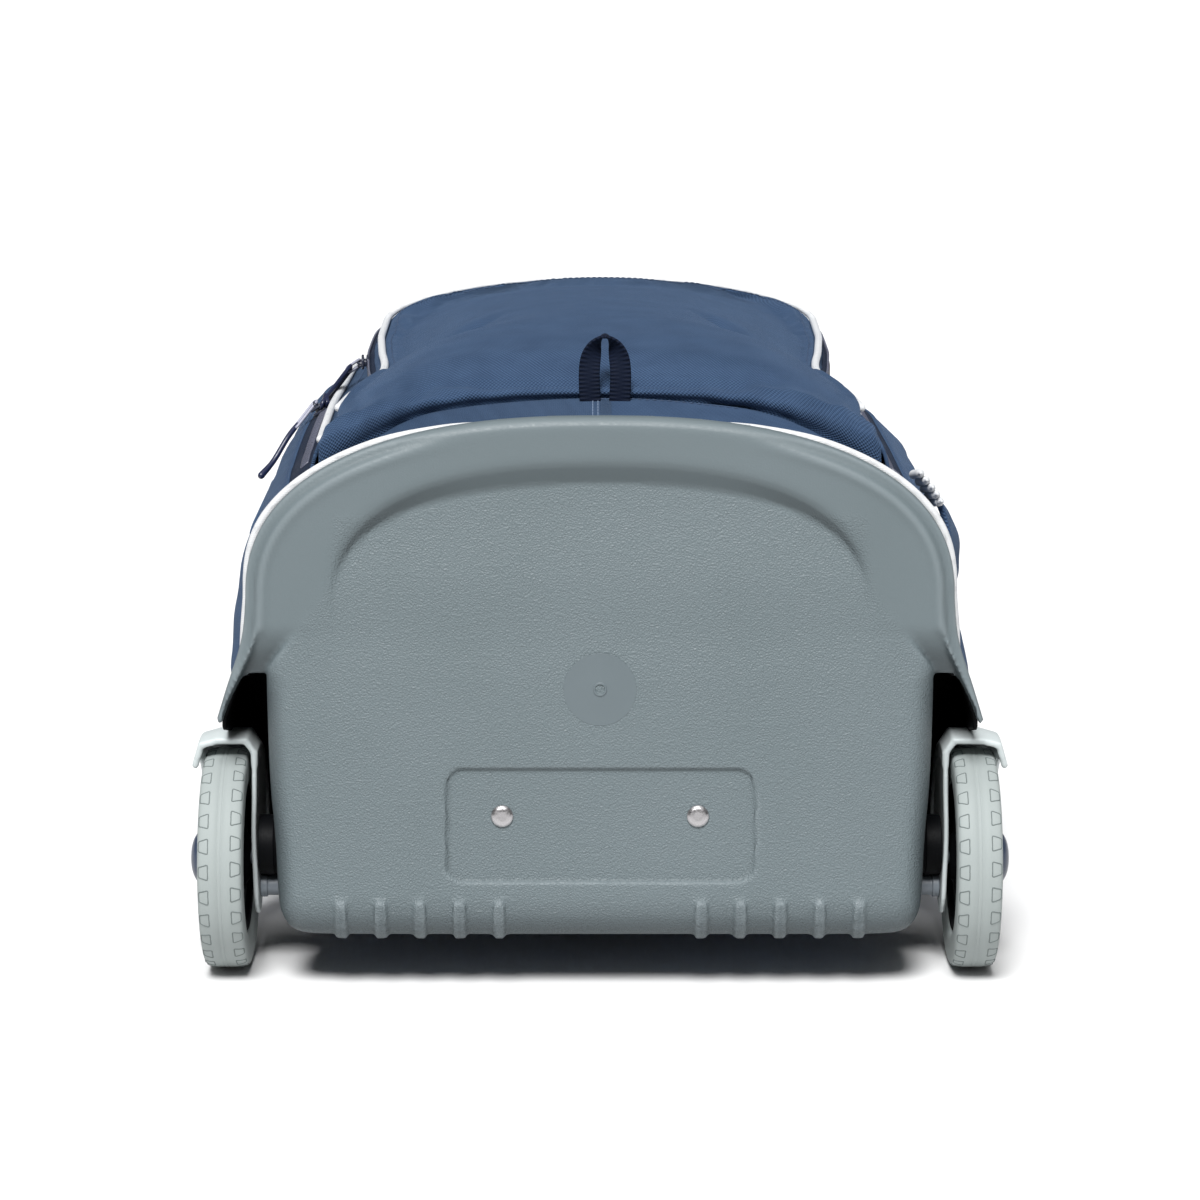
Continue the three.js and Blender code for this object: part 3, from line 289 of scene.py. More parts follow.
class Finish:
    """A material with short words for adding and joining nodes."""

    def __init__(self, name, roughness):
        self.material = bpy.data.materials.new(name)
        self.material.use_nodes = True
        self.tree = self.material.node_tree
        self.shader = self.tree.nodes["Principled BSDF"]
        self.shader.inputs["Roughness"].default_value = roughness

    def node(self, kind, **settings):
        made = self.tree.nodes.new(kind)
        for key, value in settings.items():
            setattr(made, key, value)
        return made

    def join(self, output, socket):
        self.tree.links.new(output, socket)

    def place(self, source="Object", scale=(1, 1, 1), turn=(0, 0, 0)):
        where = self.node("ShaderNodeTexCoord")
        mapping = self.node("ShaderNodeMapping")
        mapping.inputs["Scale"].default_value = scale
        mapping.inputs["Rotation"].default_value = turn
        self.join(where.outputs[source], mapping.inputs["Vector"])
        return mapping.outputs["Vector"]

    def noise(self, vector, scale, detail=3.0, roughness=0.5):
        made = self.node("ShaderNodeTexNoise")
        made.inputs["Scale"].default_value = scale
        made.inputs["Detail"].default_value = detail
        made.inputs["Roughness"].default_value = roughness
        self.join(vector, made.inputs["Vector"])
        return made.outputs["Fac"]

    def math(self, kind, a, b=None):
        made = self.node("ShaderNodeMath", operation=kind)
        for value, socket in zip((a, b), made.inputs):
            if isinstance(value, (int, float)):
                socket.default_value = value
            elif value is not None:
                self.join(value, socket)
        return made.outputs[0]

    def blend(self, factor, first, second):
        made = self.node("ShaderNodeMix", data_type="RGBA")
        self.join(factor, made.inputs["Factor"])
        for value, socket in ((first, made.inputs["A"]), (second, made.inputs["B"])):
            if isinstance(value, tuple):
                socket.default_value = value
            else:
                self.join(value, socket)
        return made.outputs["Result"]

    def spread(self, value, low, high, to_low=0.0, to_high=1.0):
        made = self.node("ShaderNodeMapRange")
        for key, number in (("From Min", low), ("From Max", high), ("To Min", to_low), ("To Max", to_high)):
            made.inputs[key].default_value = number
        self.join(value, made.inputs["Value"])
        return made.outputs["Result"]

    def bump(self, height, depth, strength=1.0, below=None):
        made = self.node("ShaderNodeBump")
        made.inputs["Distance"].default_value = depth
        made.inputs["Strength"].default_value = strength
        self.join(height, made.inputs["Height"])
        if below is not None:
            self.join(below, made.inputs["Normal"])
        self.join(made.outputs["Normal"], self.shader.inputs["Normal"])
        return made.outputs["Normal"]

    def colour(self, output):
        self.join(output, self.shader.inputs["Base Color"])

    def rough(self, output):
        self.join(output, self.shader.inputs["Roughness"])

    def set(self, **sockets):
        for name, value in sockets.items():
            self.shader.inputs[name.replace("_", " ")].default_value = value


# %% [markdown]
# The tray's grey plastic has a pebble grain on the panel and the block, and is smoother on the rim.
# Round cells of about a millimetre make the pebbles; a mesh attribute says how strong they are at
# each point. A little slow noise keeps the grey from being dead flat, and the grain breaks the gloss.

# %% Grey tray plastic
tray_finish = Finish("tray_grey_plastic", 0.5)
where = tray_finish.place()
slow = tray_finish.noise(where, 14, 2)
fine = tray_finish.noise(where, 900, 2)
tray_tone = tray_finish.blend(
    tray_finish.math("ADD", tray_finish.math("MULTIPLY", slow, 0.7), tray_finish.math("MULTIPLY", fine, 0.3)),
    linear(87, 98, 101), linear(98, 108, 112))
# Painted shade: a mesh attribute blends the grey towards a dark tone where little light falls.
painted_shade = tray_finish.node("ShaderNodeAttribute", attribute_name="painted_shade").outputs["Fac"]
edge = tray_finish.node("ShaderNodeAttribute", attribute_name="edge").outputs["Fac"]
tray_tone = tray_finish.blend(tray_finish.math("MULTIPLY", painted_shade, 0.62), tray_tone, linear(57, 64, 67))
# Painted highlight: convex edges blend towards a paler grey.
tray_finish.colour(tray_finish.blend(tray_finish.math("MULTIPLY", edge, 0.4), tray_tone, linear(129, 138, 142)))
pebbles = tray_finish.node("ShaderNodeTexVoronoi", feature="SMOOTH_F1")
pebbles.inputs["Scale"].default_value = 1250
pebbles.inputs["Smoothness"].default_value = 0.6
tray_finish.join(where, pebbles.inputs["Vector"])
grain_share = tray_finish.node("ShaderNodeAttribute", attribute_name="grain")
grain = tray_finish.math("MULTIPLY", pebbles.outputs["Distance"], grain_share.outputs["Fac"])
tray_finish.bump(grain, 0.0004, 1.0)
tray_finish.rough(tray_finish.spread(fine, 0.3, 0.7, 0.46, 0.6))
tray_finish.set(Specular_IOR_Level=0.42)
print("finish:", tray_finish.material.name)

# %% [markdown]
# The tray is one moulding. Its front is a sloping panel that lies behind the rim at the top of the
# arch, level with it at mid height and proud of it below, where it becomes a block with rounded
# sides. The rim has a flange and a rolled bead along its corners, and feet that flare out over the
# wheels. A field suits it, because every one of these runs into the next with a fillet.

# %% Sizes of the tray
RIM_FRONT, RIM_BACK, BLOCK_BACK = 10, 20, 30
RIM_HALF_WIDTH, RIM_WAIST, RIM_TOP, RIM_POWER = 157, 176, 257.6, 2.38
MIDDLE = -20
rim_side = cut_corners([(157, 176), (158.4, 158), (165.8, 137), (170.8, 120.8)], 3).tolist()
rim_outline = ([(MIDDLE, RIM_TOP)] + half_arch(RIM_HALF_WIDTH, RIM_TOP - RIM_WAIST, RIM_WAIST, RIM_POWER)
               + rim_side[1:] + [(168.5, 119.2)]
               + cut_corners([(168.5, 119.2), (165.8, 127), (161, 137), (157.5, 141.5), (150, 141.5)], 2).tolist()[1:]
               + [(MIDDLE, 141.5)])
arch_outline = ([(MIDDLE, 228)] + half_arch(117.5, 54, 174, RIM_POWER) + [(117.5, 120), (MIDDLE, 120)])
block_side_line = [(116, 24.7), (136.5, 24.9), (143.4, 33.5), (144.4, 46), (145.2, 68), (147.5, 91), (148.6, 130),
                   (148.6, 140), (148.2, 144.5), (145.4, 148.5), (132, 167), (121, 181), (118, 215)]
block_outline = [(MIDDLE, 24.7), (116, 24.7)] + cut_corners(block_side_line, 3).tolist()[1:] + [(MIDDLE, 215)]
FIELD_HALF, FIELD_CENTRE, FIELD_CORNER, FIELD_DEPTH = (68.5, 25), 76, 8, 1.7
RIB_FIRST, RIB_PITCH, RIB_COUNT, RIB_HALF, RIB_TOP = 45, 17.6, 5, 2.8, 43


def panel_y(z):
    return 15 - 0.09 * (228 - z) + 2.5 * ease(170, 226, z)


def lip_line(z):
    """Inner edge of the lip on the rim's feet."""
    return np.interp(z, [121, 128, 137, 146, 154.6, 162, 176], [168.9, 167.2, 162.8, 158.6, 154.6, 152.4, 152])


# %% The tray's field and its skin
def tray_field(x, y, z):
    across = np.abs(x)
    rim = outline_distance(rim_outline, across, z)
    block_side = outline_distance(block_outline, across, z)
    corner = ease(55, 105, across)
    into = -rim
    front = RIM_FRONT + 0 * into
    flange = corner * np.maximum(ease(-1, 0.5, across - lip_line(z)), ease(158, 166, z))
    front = front + flange * (2.4 * (1 - ease(3.4, 6.0, into)) - 0.9 * np.exp(-((into - 7.6) / 2.1) ** 2))
    front = front + 7.4 * ease(166, 142, z) * ease(0, 1.8, lip_line(z) - across)
    solid = rounded_meet(rim, front - y, 1.8 + 3.4 * (1 - corner))
    panel = panel_y(z) + 2.9 * (across / 148) ** 8
    block = rounded_meet(block_side, panel - y, 1.8 + 10 * ease(152, 136, z))
    solid = soft_join(solid, block, 1.2)
    sunk = (outline_distance(arch_outline, across, z) - 1.15 * (panel_y(z) - y)) / 1.524
    solid = soft_cut(solid, np.maximum(sunk, y - panel_y(z) + 3 * ease(160, 126, z)), 2.2)
    turn = RIB_FIRST + RIB_PITCH * np.clip(np.round((across - RIB_FIRST) / RIB_PITCH), 0, RIB_COUNT - 1)
    rib = rounded_meet(np.abs(across - turn) - RIB_HALF, block - 1.9, 1.2)
    rib = np.maximum(rounded_meet(rib, z - RIB_TOP, 2), y - 16)
    solid = soft_join(solid, rib, 0.4)
    corner_x, corner_z = (np.maximum(np.abs(v) - h + FIELD_CORNER, 0)
                          for v, h in ((x, FIELD_HALF[0]), (z - FIELD_CENTRE, FIELD_HALF[1])))
    flat = np.maximum(np.abs(x) - FIELD_HALF[0], np.abs(z - FIELD_CENTRE) - FIELD_HALF[1])
    sunk_field = np.maximum(np.hypot(corner_x, corner_z) - FIELD_CORNER, flat)
    solid = soft_cut(solid, np.maximum(sunk_field, y - panel_y(z) - FIELD_DEPTH), 0.4)
    behind_rim = rounded_meet(rim + 4.5, np.maximum(RIM_FRONT + 6.4 + 9 * ease(176, 168, z), panel_y(z) + 4) - y, 3)
    behind_block = rounded_meet(block_side + 6, panel_y(z) + FIELD_DEPTH + 4.5 - y, 6)
    kept = np.minimum(y - RIM_BACK, np.maximum(y - BLOCK_BACK, block_side))
    return np.maximum(np.maximum(solid, -np.minimum(behind_rim, behind_block)), kept)


TRAY_CELL = 1.4
points, faces = skin(tray_field, (-171, -5, 22), (171, 30, 258.5), TRAY_CELL)
tray = piece_from("tray_moulding", points, faces)
print("tray skin:", len(points), "points in cells of", TRAY_CELL, "mm")

# %% [markdown]
# The finish reads three numbers from each point of the tray. The grain is strong on the panel and the block.
# Edges get a painted highlight, a little paler: a point on an edge stands out from its neighbours, and one in a
# corner lies behind them. Painted shade is a darker tone where little light falls: the underside, the block's
# sides, the wall under the arch, the sunk rim by the feet, the band near the floor, and inner corners.

# %% Grain, edges and shade of the tray
def store(piece, name, values):
    piece.data.attributes.new(name, "FLOAT", "POINT").data.foreach_set("value", np.asarray(values, np.float32))


def edge_bend(piece, rounds):
    """How far each point stands out from its neighbours, in cells: positive on edges, negative in corners."""
    mesh = piece.data
    points, ends = np.empty(len(mesh.vertices) * 3), np.empty(len(mesh.edges) * 2, int)
    mesh.vertices.foreach_get("co", points)
    mesh.edges.foreach_get("vertices", ends)
    points, ends = points.reshape(-1, 3), ends.reshape(-1, 2)
    normals = np.array([v.vector for v in mesh.vertex_normals])
    count = np.bincount(ends.ravel(), minlength=len(points))[:, None]

    def around(values):
        total = np.zeros_like(values)
        np.add.at(total, ends[:, 0], values[ends[:, 1]])
        np.add.at(total, ends[:, 1], values[ends[:, 0]])
        return total / count
    bend = np.sum((points - around(points)) * normals, 1, keepdims=True) / (TRAY_CELL * MM)
    for _ in range(rounds):
        bend = (bend + around(bend)) / 2
    return bend[:, 0], normals


across, height = np.abs(points[:, 0]), points[:, 2]
to_arch, to_block = (outline_distance(outline, across, height) for outline in (arch_outline, block_outline))
on_panel = np.minimum(to_arch, to_block)
store(tray, "grain", 0.1 + 0.9 * ease(2, -4, on_panel))
tray_bend, tray_normals = edge_bend(tray, 2)
# Painted highlight on convex edges, from how far each point stands out.
store(tray, "edge", ease(0.02, 0.14, tray_bend))
# Painted shade masks: under faces, the wall under the arch, the block's flanks, the sunk rim by the feet, the band near
# the floor and inner corners.
arch_wall = (np.abs(to_arch - 4) < 9) * ease(155, 175, height) * ease(0.93, 0.8, -tray_normals[:, 1])
arch_wall *= 0.95 * ease(45, 105, across)
underside = ease(0.15, 0.8, -tray_normals[:, 2]) * (1 - 0.95 * ease(150, 175, height) * ease(105, 45, across))
block_flank = 0.9 * ease(0.3, 0.9, np.abs(tray_normals[:, 0])) * ease(142, 132, height)
by_foot = 1.5 * ease(162, 143, height) * ease(0, 2, lip_line(height) - across) * ease(-1, 1.5, on_panel)
near_floor = 1.1 * ease(47, 30, height)
inner_corner = 0.45 * ease(0.02, 0.12, -tray_bend)
store(tray, "painted_shade", np.maximum.reduce([underside, arch_wall, block_flank, by_foot, near_floor, inner_corner]))
print("tray edges:", round(float(tray_bend.min()), 2), "to", round(float(tray_bend.max()), 2))
fit(tray, tray_finish.material, "tray_plastic", "base_tray")

# %% [markdown]
# Round pieces come from two helpers. A turned piece is a profile of distance and radius spun about
# an axis, as on a lathe. A tube is a ring carried along a line without twisting. Corners of a profile
# are eased a little, because no moulded or turned edge is sharp enough to lose its highlight.

# %% Turned pieces, tubes and lines
def eased(points, radius, steps=3):
    """An open line with each corner rounded to about one radius."""
    line = [np.array(p, float) for p in points]
    made = [line[0]]
    for before, corner, after in zip(line, line[1:], line[2:]):
        arms = []
        for other in (before, after):
            arm = other - corner
            arms.append(corner + arm * min(radius / np.linalg.norm(arm), 0.48))
        for t in np.linspace(0, 1, steps + 1):
            made.append((1 - t) ** 2 * arms[0] + 2 * t * (1 - t) * corner + t * t * arms[1])
    return np.array(made + [line[-1]])


def even(line, spacing):
    """The same line with points at an even spacing."""
    line = np.array(line, float)
    run = np.concatenate([[0], np.cumsum(np.linalg.norm(np.diff(line, axis=0), axis=1))])
    at = np.linspace(0, run[-1], max(int(round(run[-1] / spacing)), 2) + 1)
    return np.stack([np.interp(at, run, column) for column in line.T], 1)


def smooth_line(points, spacing):
    """A curve through the given points, with points at an even spacing."""
    p = np.array(points, float)
    p = np.concatenate([[2 * p[0] - p[1]], p, [2 * p[-1] - p[-2]]])
    t = np.linspace(0, 1, 12, endpoint=False)[:, None]
    parts = []
    for a, b, c, d in zip(p, p[1:], p[2:], p[3:]):
        parts.append(0.5 * (2 * b + (c - a) * t + (2 * a - 5 * b + 4 * c - d) * t ** 2
                            + (3 * b - a - 3 * c + d) * t ** 3))
    return even(np.concatenate(parts + [p[-2:-1]]), spacing)


def rings_to_mesh(rings, closed=False):
    """Faces between rings of points; a ring that has shrunk to a point becomes one point."""
    points, rows = [], []
    for ring in rings:
        if np.ptp(ring, axis=0).max() < 1e-6:
            rows.append([len(points)] * len(ring))
            points.append(ring[0])
        else:
            rows.append(list(range(len(points), len(points) + len(ring))))
            points.extend(ring)
    faces = []
    for a, b in zip(rows, rows[1:] + rows[:1] if closed else rows[1:]):
        for i in range(len(a)):
            j = (i + 1) % len(a)
            corners = list(dict.fromkeys((a[i], a[j], b[j], b[i])))
            if len(corners) > 2:
                faces.append(corners)
    return np.array(points), faces


def turned(profile, centre, axis, steps, closed=False):
    along = Vector(axis).normalized()
    side = along.orthogonal().normalized()
    angles = np.linspace(0, 2 * math.pi, steps, endpoint=False)
    circle = np.outer(np.cos(angles), side) + np.outer(np.sin(angles), along.cross(side))
    rings = [np.array(centre) + distance * np.array(along) + radius * circle for distance, radius in profile]
    return rings_to_mesh(rings, closed)


def tube(path, radius, sides=12, round_steps=3):
    """A tube with rounded ends; its radius may change along the path."""
    path = np.array(path, float)
    radius = np.broadcast_to(np.asarray(radius, float), len(path))
    tangent = np.gradient(path, axis=0)
    tangent /= np.linalg.norm(tangent, axis=1)[:, None]
    side = Vector(tangent[0]).orthogonal().normalized()
    angles = np.linspace(0, 2 * math.pi, sides, endpoint=False)
    circles = []
    for direction in map(Vector, tangent):
        side = (side - side.dot(direction) * direction).normalized()
        circles.append(np.outer(np.cos(angles), side) + np.outer(np.sin(angles), direction.cross(side)))
    rings = [p + r * c for p, r, c in zip(path, radius, circles)]
    turns = np.linspace(0, math.pi / 2, round_steps + 1)[1:]
    for turn in turns:
        out, shrink = math.sin(turn), math.cos(turn) if turn < 1.57 else 0
        rings.insert(0, path[0] - radius[0] * out * tangent[0] + radius[0] * shrink * circles[0])
        rings.append(path[-1] + radius[-1] * out * tangent[-1] + radius[-1] * shrink * circles[-1])
    return rings_to_mesh(rings)


def both_sides(name, points, faces, finish, slot, node, body=None):
    """The right piece and its mirror image on the left."""
    mirrored = np.array(points) * [-1, 1, 1]
    for word, where, skin_faces in (("right", points, faces), ("left", mirrored, [list(f)[::-1] for f in faces])):
        piece = piece_from(f"{name}_{word}", where, skin_faces)
        fit(piece, finish, slot, f"{node}_{word}", body=f"{body}_{word}" if body else "bag")


# %% [markdown]
# The other hard finishes are moulded plastics, rubber and steel. They share one recipe: two close
# tones stirred by noise, a fine grain in the bump and a roughness that the grain breaks up. The
# steel of the rivets has fine rings from turning, because they are flat turned heads.

# %% Moulded plastics, rubber and steel
def moulded(name, dark, light, roughness, grain_scale, grain_depth, gloss=0.4):
    made = Finish(name, roughness)
    at = made.place()
    cloudy, fine_grain = made.noise(at, 30, 3), made.noise(at, grain_scale, 3)
    made.colour(made.blend(made.math("MULTIPLY", made.math("ADD", cloudy, fine_grain), 0.5),
                           linear(*dark), linear(*light)))
    made.rough(made.spread(fine_grain, 0.3, 0.7, roughness - 0.06, roughness + 0.08))
    made.bump(fine_grain, grain_depth, 0.5)
    made.set(Specular_IOR_Level=gloss)
    return made.material


guard_finish = moulded("guard_light_grey", (180, 188, 189), (190, 197, 197), 0.46, 1400, 0.00006)
tyre_finish = moulded("tyre_grey_rubber", (138, 145, 144), (149, 156, 155), 0.62, 2200, 0.00008, 0.3)
black_finish = moulded("black_plastic", (4, 5, 6), (9, 10, 13), 0.55, 1600, 0.00008, 0.08)
post_finish = moulded("post_grey_plastic", (98, 105, 112), (111, 118, 125), 0.42, 1600, 0.00005)
cap_finish = moulded("hub_cap_navy", (33, 46, 66), (44, 57, 80), 0.34, 1800, 0.00004)
disc_finish = moulded("mould_mark_grey", (87, 97, 101), (95, 104, 108), 0.42, 1500, 0.00003)

steel = Finish("rivet_steel", 0.3)
turning = steel.node("ShaderNodeTexNoise")
turning.inputs["Scale"].default_value = 1800
steel.join(steel.place(scale=(1, 0.2, 1)), turning.inputs["Vector"])
steel.colour(steel.blend(turning.outputs["Fac"], linear(168, 166, 168), linear(204, 202, 203)))
steel.rough(steel.spread(turning.outputs["Fac"], 0.3, 0.7, 0.24, 0.4))
steel.set(Metallic=1.0)
print("finishes: guard, tyre, black, post, cap, mould mark, steel")

# %% [markdown]
# On the tray sit two flat rivets, in the sunk field, and the round mark that a mould insert leaves,
# with the small ring where the plastic was fed in. All three stand square to the sloping panel.

# %% Rivets and the round mould mark
PANEL_OUT = (0, -1, 0.09)
RIVET_X, RIVET_Z, RIVET_RADIUS = 43.5, 80, 5
rivet_profile = eased([(-0.6, 0), (-0.6, RIVET_RADIUS), (0.7, RIVET_RADIUS), (1.75, RIVET_RADIUS - 1.3),
                       (1.95, 2.2), (1.9, 0)], 0.35)
points, faces = turned(rivet_profile, (RIVET_X, panel_y(RIVET_Z) + FIELD_DEPTH, RIVET_Z), PANEL_OUT, 48)
both_sides("rivet_head", points, faces, steel.material, "steel", "rivet")

MARK_Z, MARK_RADIUS, GATE_RADIUS = 136.8, 16.1, 2.65
mark_profile = eased([(-0.8, 0), (-0.8, MARK_RADIUS), (0.16, MARK_RADIUS), (0.1, MARK_RADIUS - 0.5),
                      (0.1, GATE_RADIUS + 0.5), (0.55, GATE_RADIUS + 0.25), (0.55, GATE_RADIUS - 0.35),
                      (-0.05, GATE_RADIUS - 0.6), (-0.05, 0)], 0.12)
points, faces = turned(mark_profile, (0, panel_y(MARK_Z), MARK_Z), PANEL_OUT, 96)
fit(piece_from("mould_mark", points, faces), disc_finish, "tray_plastic")

# %% [markdown]
# The wheel guard is a moulded arch with a flat top and slanted sides, and a plate that runs down
# inside the wheel to a rounded tip. As a field it is a bent line in a section of X and radius, given
# a thickness, cut off at two angles, and joined to the plate.

# %% Wheel guards
AXLE_Y, AXLE_Z = 46, 50
GUARD_HALF_WALL = 1.45
GUARD_PLATE_X, GUARD_PLATE_HALF = 156.2, 1.15
GUARD_SECTION = [(GUARD_PLATE_X, 46), (GUARD_PLATE_X, 52), (159.8, 57.9), (172.5, 57.9), (180, 55.8), (183, 45.8)]
GUARD_FRONT, GUARD_BACK = math.radians(102), math.radians(-12)
PLATE_TIP_Z, PLATE_TIP_RADIUS, PLATE_RADIUS = 36, 12, 53
plate_outline = [(AXLE_Y + PLATE_RADIUS * math.cos(a), AXLE_Z + PLATE_RADIUS * math.sin(a))
                 for a in np.linspace(math.radians(10), GUARD_FRONT, 24)]
plate_outline += [(AXLE_Y - PLATE_TIP_RADIUS, AXLE_Z)]
plate_outline += [(AXLE_Y + PLATE_TIP_RADIUS * math.cos(a), PLATE_TIP_Z + PLATE_TIP_RADIUS * math.sin(a))
                  for a in np.linspace(math.pi, 2 * math.pi, 16)]


def guard_field(x, y, z):
    dy, dz = y - AXLE_Y, z - AXLE_Z
    arch = line_distance(GUARD_SECTION, x, np.hypot(dy, dz)) - GUARD_HALF_WALL
    past_front = dz * math.cos(GUARD_FRONT) - dy * math.sin(GUARD_FRONT)
    past_back = dy * math.sin(GUARD_BACK) - dz * math.cos(GUARD_BACK)
    arch = rounded_meet(arch, np.maximum(past_front, past_back), 0.7)
    bow = 0.8 * np.exp(-((z - 62) / 18) ** 2)
    plate = np.abs(x - GUARD_PLATE_X - bow) - GUARD_PLATE_HALF
    plate = rounded_meet(plate, outline_distance(plate_outline, y, z), 1.2)
    return soft_join(arch, plate, 1.2)


points, faces = skin(guard_field, (152, -12, 22), (187, 109, 111), 0.9)
both_sides("wheel_guard", points, faces, guard_finish, "guard_plastic", "fender")

# %% [markdown]
# Behind each plate a black stepped boss and a grey post reach to the tray, and the axle pin goes out
# through the wheel. They are all turned about the X axis.

# %% Bosses, posts and axles
BOSS_Z, POST_Z, SEAT_X, PLATE_X = 56, 36.8, 139.6, 154.9
boss_profile = eased([(SEAT_X, 0), (SEAT_X, 13), (141.8, 13), (141.9, 11.6), (145.3, 11.6), (145.4, 13.7),
                      (147.2, 13.7), (147.4, 13.2), (147.9, 13.2), (148.1, 13.7), (PLATE_X, 13.7),
                      (PLATE_X, 0)], 0.35)
post_profile = eased([(SEAT_X, 0), (SEAT_X, 4.6), (151.7, 4.6), (151.8, 5.3), (PLATE_X, 5.3), (PLATE_X, 0)], 0.4)
axle_profile = eased([(155.2, 0), (155.2, 3.4), (158.6, 3.4), (158.7, 3), (177.6, 3), (177.6, 0)], 0.3)
for name, profile, height, material, slot, node in (
        ("boss", boss_profile, BOSS_Z, black_finish, "black_plastic", "wheel_boss"),
        ("guard_post", post_profile, POST_Z, post_finish, "post_plastic", "fender_post"),
        ("axle_pin", axle_profile, AXLE_Z, post_finish, "steel", "axle")):
    points, faces = turned(profile, (0, AXLE_Y, height), (1, 0, 0), 48)
    both_sides(name, points, faces, material, slot, node)

# %% [markdown]
# The tyre is a turned ring with a smooth crown and two fine grooves round its middle. Inside it is a
# plain dished hub, and outside a domed navy cap. All three ride on the wheel's own body and turn.

# %% Tyres, hubs and caps
WHEEL_X = 169.2
CROWN, GROOVE = 50, 0.14
side_profile = [(4.9, 49.85), (7, 49.6), (9, 49), (10, 47.4), (10.25, 43), (9.8, 36.4), (8.2, 34.1)]
crown_profile = [(0, CROWN), (0.55, CROWN), (0.7, CROWN - GROOVE), (0.95, CROWN - GROOVE), (1.1, CROWN),
                 (4.2, CROWN)] + cut_corners(side_profile, 2).tolist()
tyre_profile = [(WHEEL_X - a, r) for a, r in crown_profile[:0:-1]] + [(WHEEL_X + a, r) for a, r in crown_profile]
points, faces = turned(tyre_profile, (0, AXLE_Y, AXLE_Z), (1, 0, 0), 144, closed=True)
both_sides("tyre_ring", points, faces, tyre_finish, "tyre_rubber", "tyre", body="wheel")

hub_profile = eased([(159.2, 3.4), (159.2, 9), (161.6, 12), (163.2, 26), (161.2, 29), (160.7, 33.6),
                     (177.7, 33.6), (177.2, 29), (175.2, 26), (176.6, 14.6), (177.4, 13.6), (177.4, 3.4)], 0.9)
points, faces = turned(np.concatenate([hub_profile, hub_profile[:1]]), (0, AXLE_Y, AXLE_Z), (1, 0, 0), 96)
both_sides("hub_dish", points, faces, black_finish, "black_plastic", "hub", body="wheel")

CAP_BASE, CAP_TIP, CAP_RADIUS = 178, 186.5, 14
dome = [(CAP_BASE + (CAP_TIP - CAP_BASE) * math.sin(a), CAP_RADIUS * math.cos(a) ** 0.8)
        for a in np.linspace(0, math.pi / 2, 13)[:-1]]
points, faces = turned([(CAP_BASE, 0)] + dome + [(CAP_TIP, 0)], (0, AXLE_Y, AXLE_Z), (1, 0, 0), 48)
both_sides("hub_dome", points, faces, cap_finish, "cap_plastic", "hub_cap", body="wheel")

# %% [markdown]
# Many small things on this bag follow a path: tread pads round the tyres, teeth along the zips,
# stitches along the seams. One Geometry Nodes tree makes them all. It steps along a path at a pitch,
# sets a shape at each step, standing on the path's own "up" and turned along it, and makes the
# copies real. The result is turned into a plain mesh and the path and the shape are thrown away.

# %% Geometry Nodes: shapes along a path
path_tree = bpy.data.node_groups.new("shapes_along_a_path", "GeometryNodeTree")
sockets = {}
for word, way, kind in (("Path", "INPUT", "Geometry"), ("Shape", "INPUT", "Object"), ("Pitch", "INPUT", "Float"),
                        ("Finish", "INPUT", "Material"), ("Pieces", "OUTPUT", "Geometry")):
    sockets[word] = path_tree.interface.new_socket(word, in_out=way, socket_type="NodeSocket" + kind)


def path_node(kind, **settings):
    made = path_tree.nodes.new(kind)
    for key, value in settings.items():
        setattr(made, key, value)
    return made


def path_link(output, socket):
    path_tree.links.new(output, socket)


given, result = path_node("NodeGroupInput"), path_node("NodeGroupOutput")
as_curve = path_node("GeometryNodeMeshToCurve")
stepped = path_node("GeometryNodeResampleCurve", mode="LENGTH")
standing = path_node("GeometryNodeInputNamedAttribute", data_type="FLOAT_VECTOR")
standing.inputs["Name"].default_value = "up"
heading = path_node("GeometryNodeInputTangent")
turning_node = path_node("FunctionNodeAxesToRotation", primary_axis="Z", secondary_axis="X")
one_shape = path_node("GeometryNodeObjectInfo")
copies = path_node("GeometryNodeInstanceOnPoints")
real = path_node("GeometryNodeRealizeInstances")
covered = path_node("GeometryNodeSetMaterial")
path_link(given.outputs["Path"], as_curve.inputs["Mesh"])
path_link(as_curve.outputs["Curve"], stepped.inputs["Curve"])
path_link(given.outputs["Pitch"], stepped.inputs["Length"])
path_link(stepped.outputs["Curve"], copies.inputs["Points"])
path_link(given.outputs["Shape"], one_shape.inputs["Object"])
path_link(one_shape.outputs["Geometry"], copies.inputs["Instance"])
path_link(standing.outputs["Attribute"], turning_node.inputs[0])
path_link(heading.outputs["Tangent"], turning_node.inputs[1])
path_link(turning_node.outputs["Rotation"], copies.inputs["Rotation"])
path_link(copies.outputs["Instances"], real.inputs["Geometry"])
path_link(real.outputs["Geometry"], covered.inputs["Geometry"])
path_link(given.outputs["Finish"], covered.inputs["Material"])
path_link(covered.outputs["Geometry"], result.inputs["Pieces"])


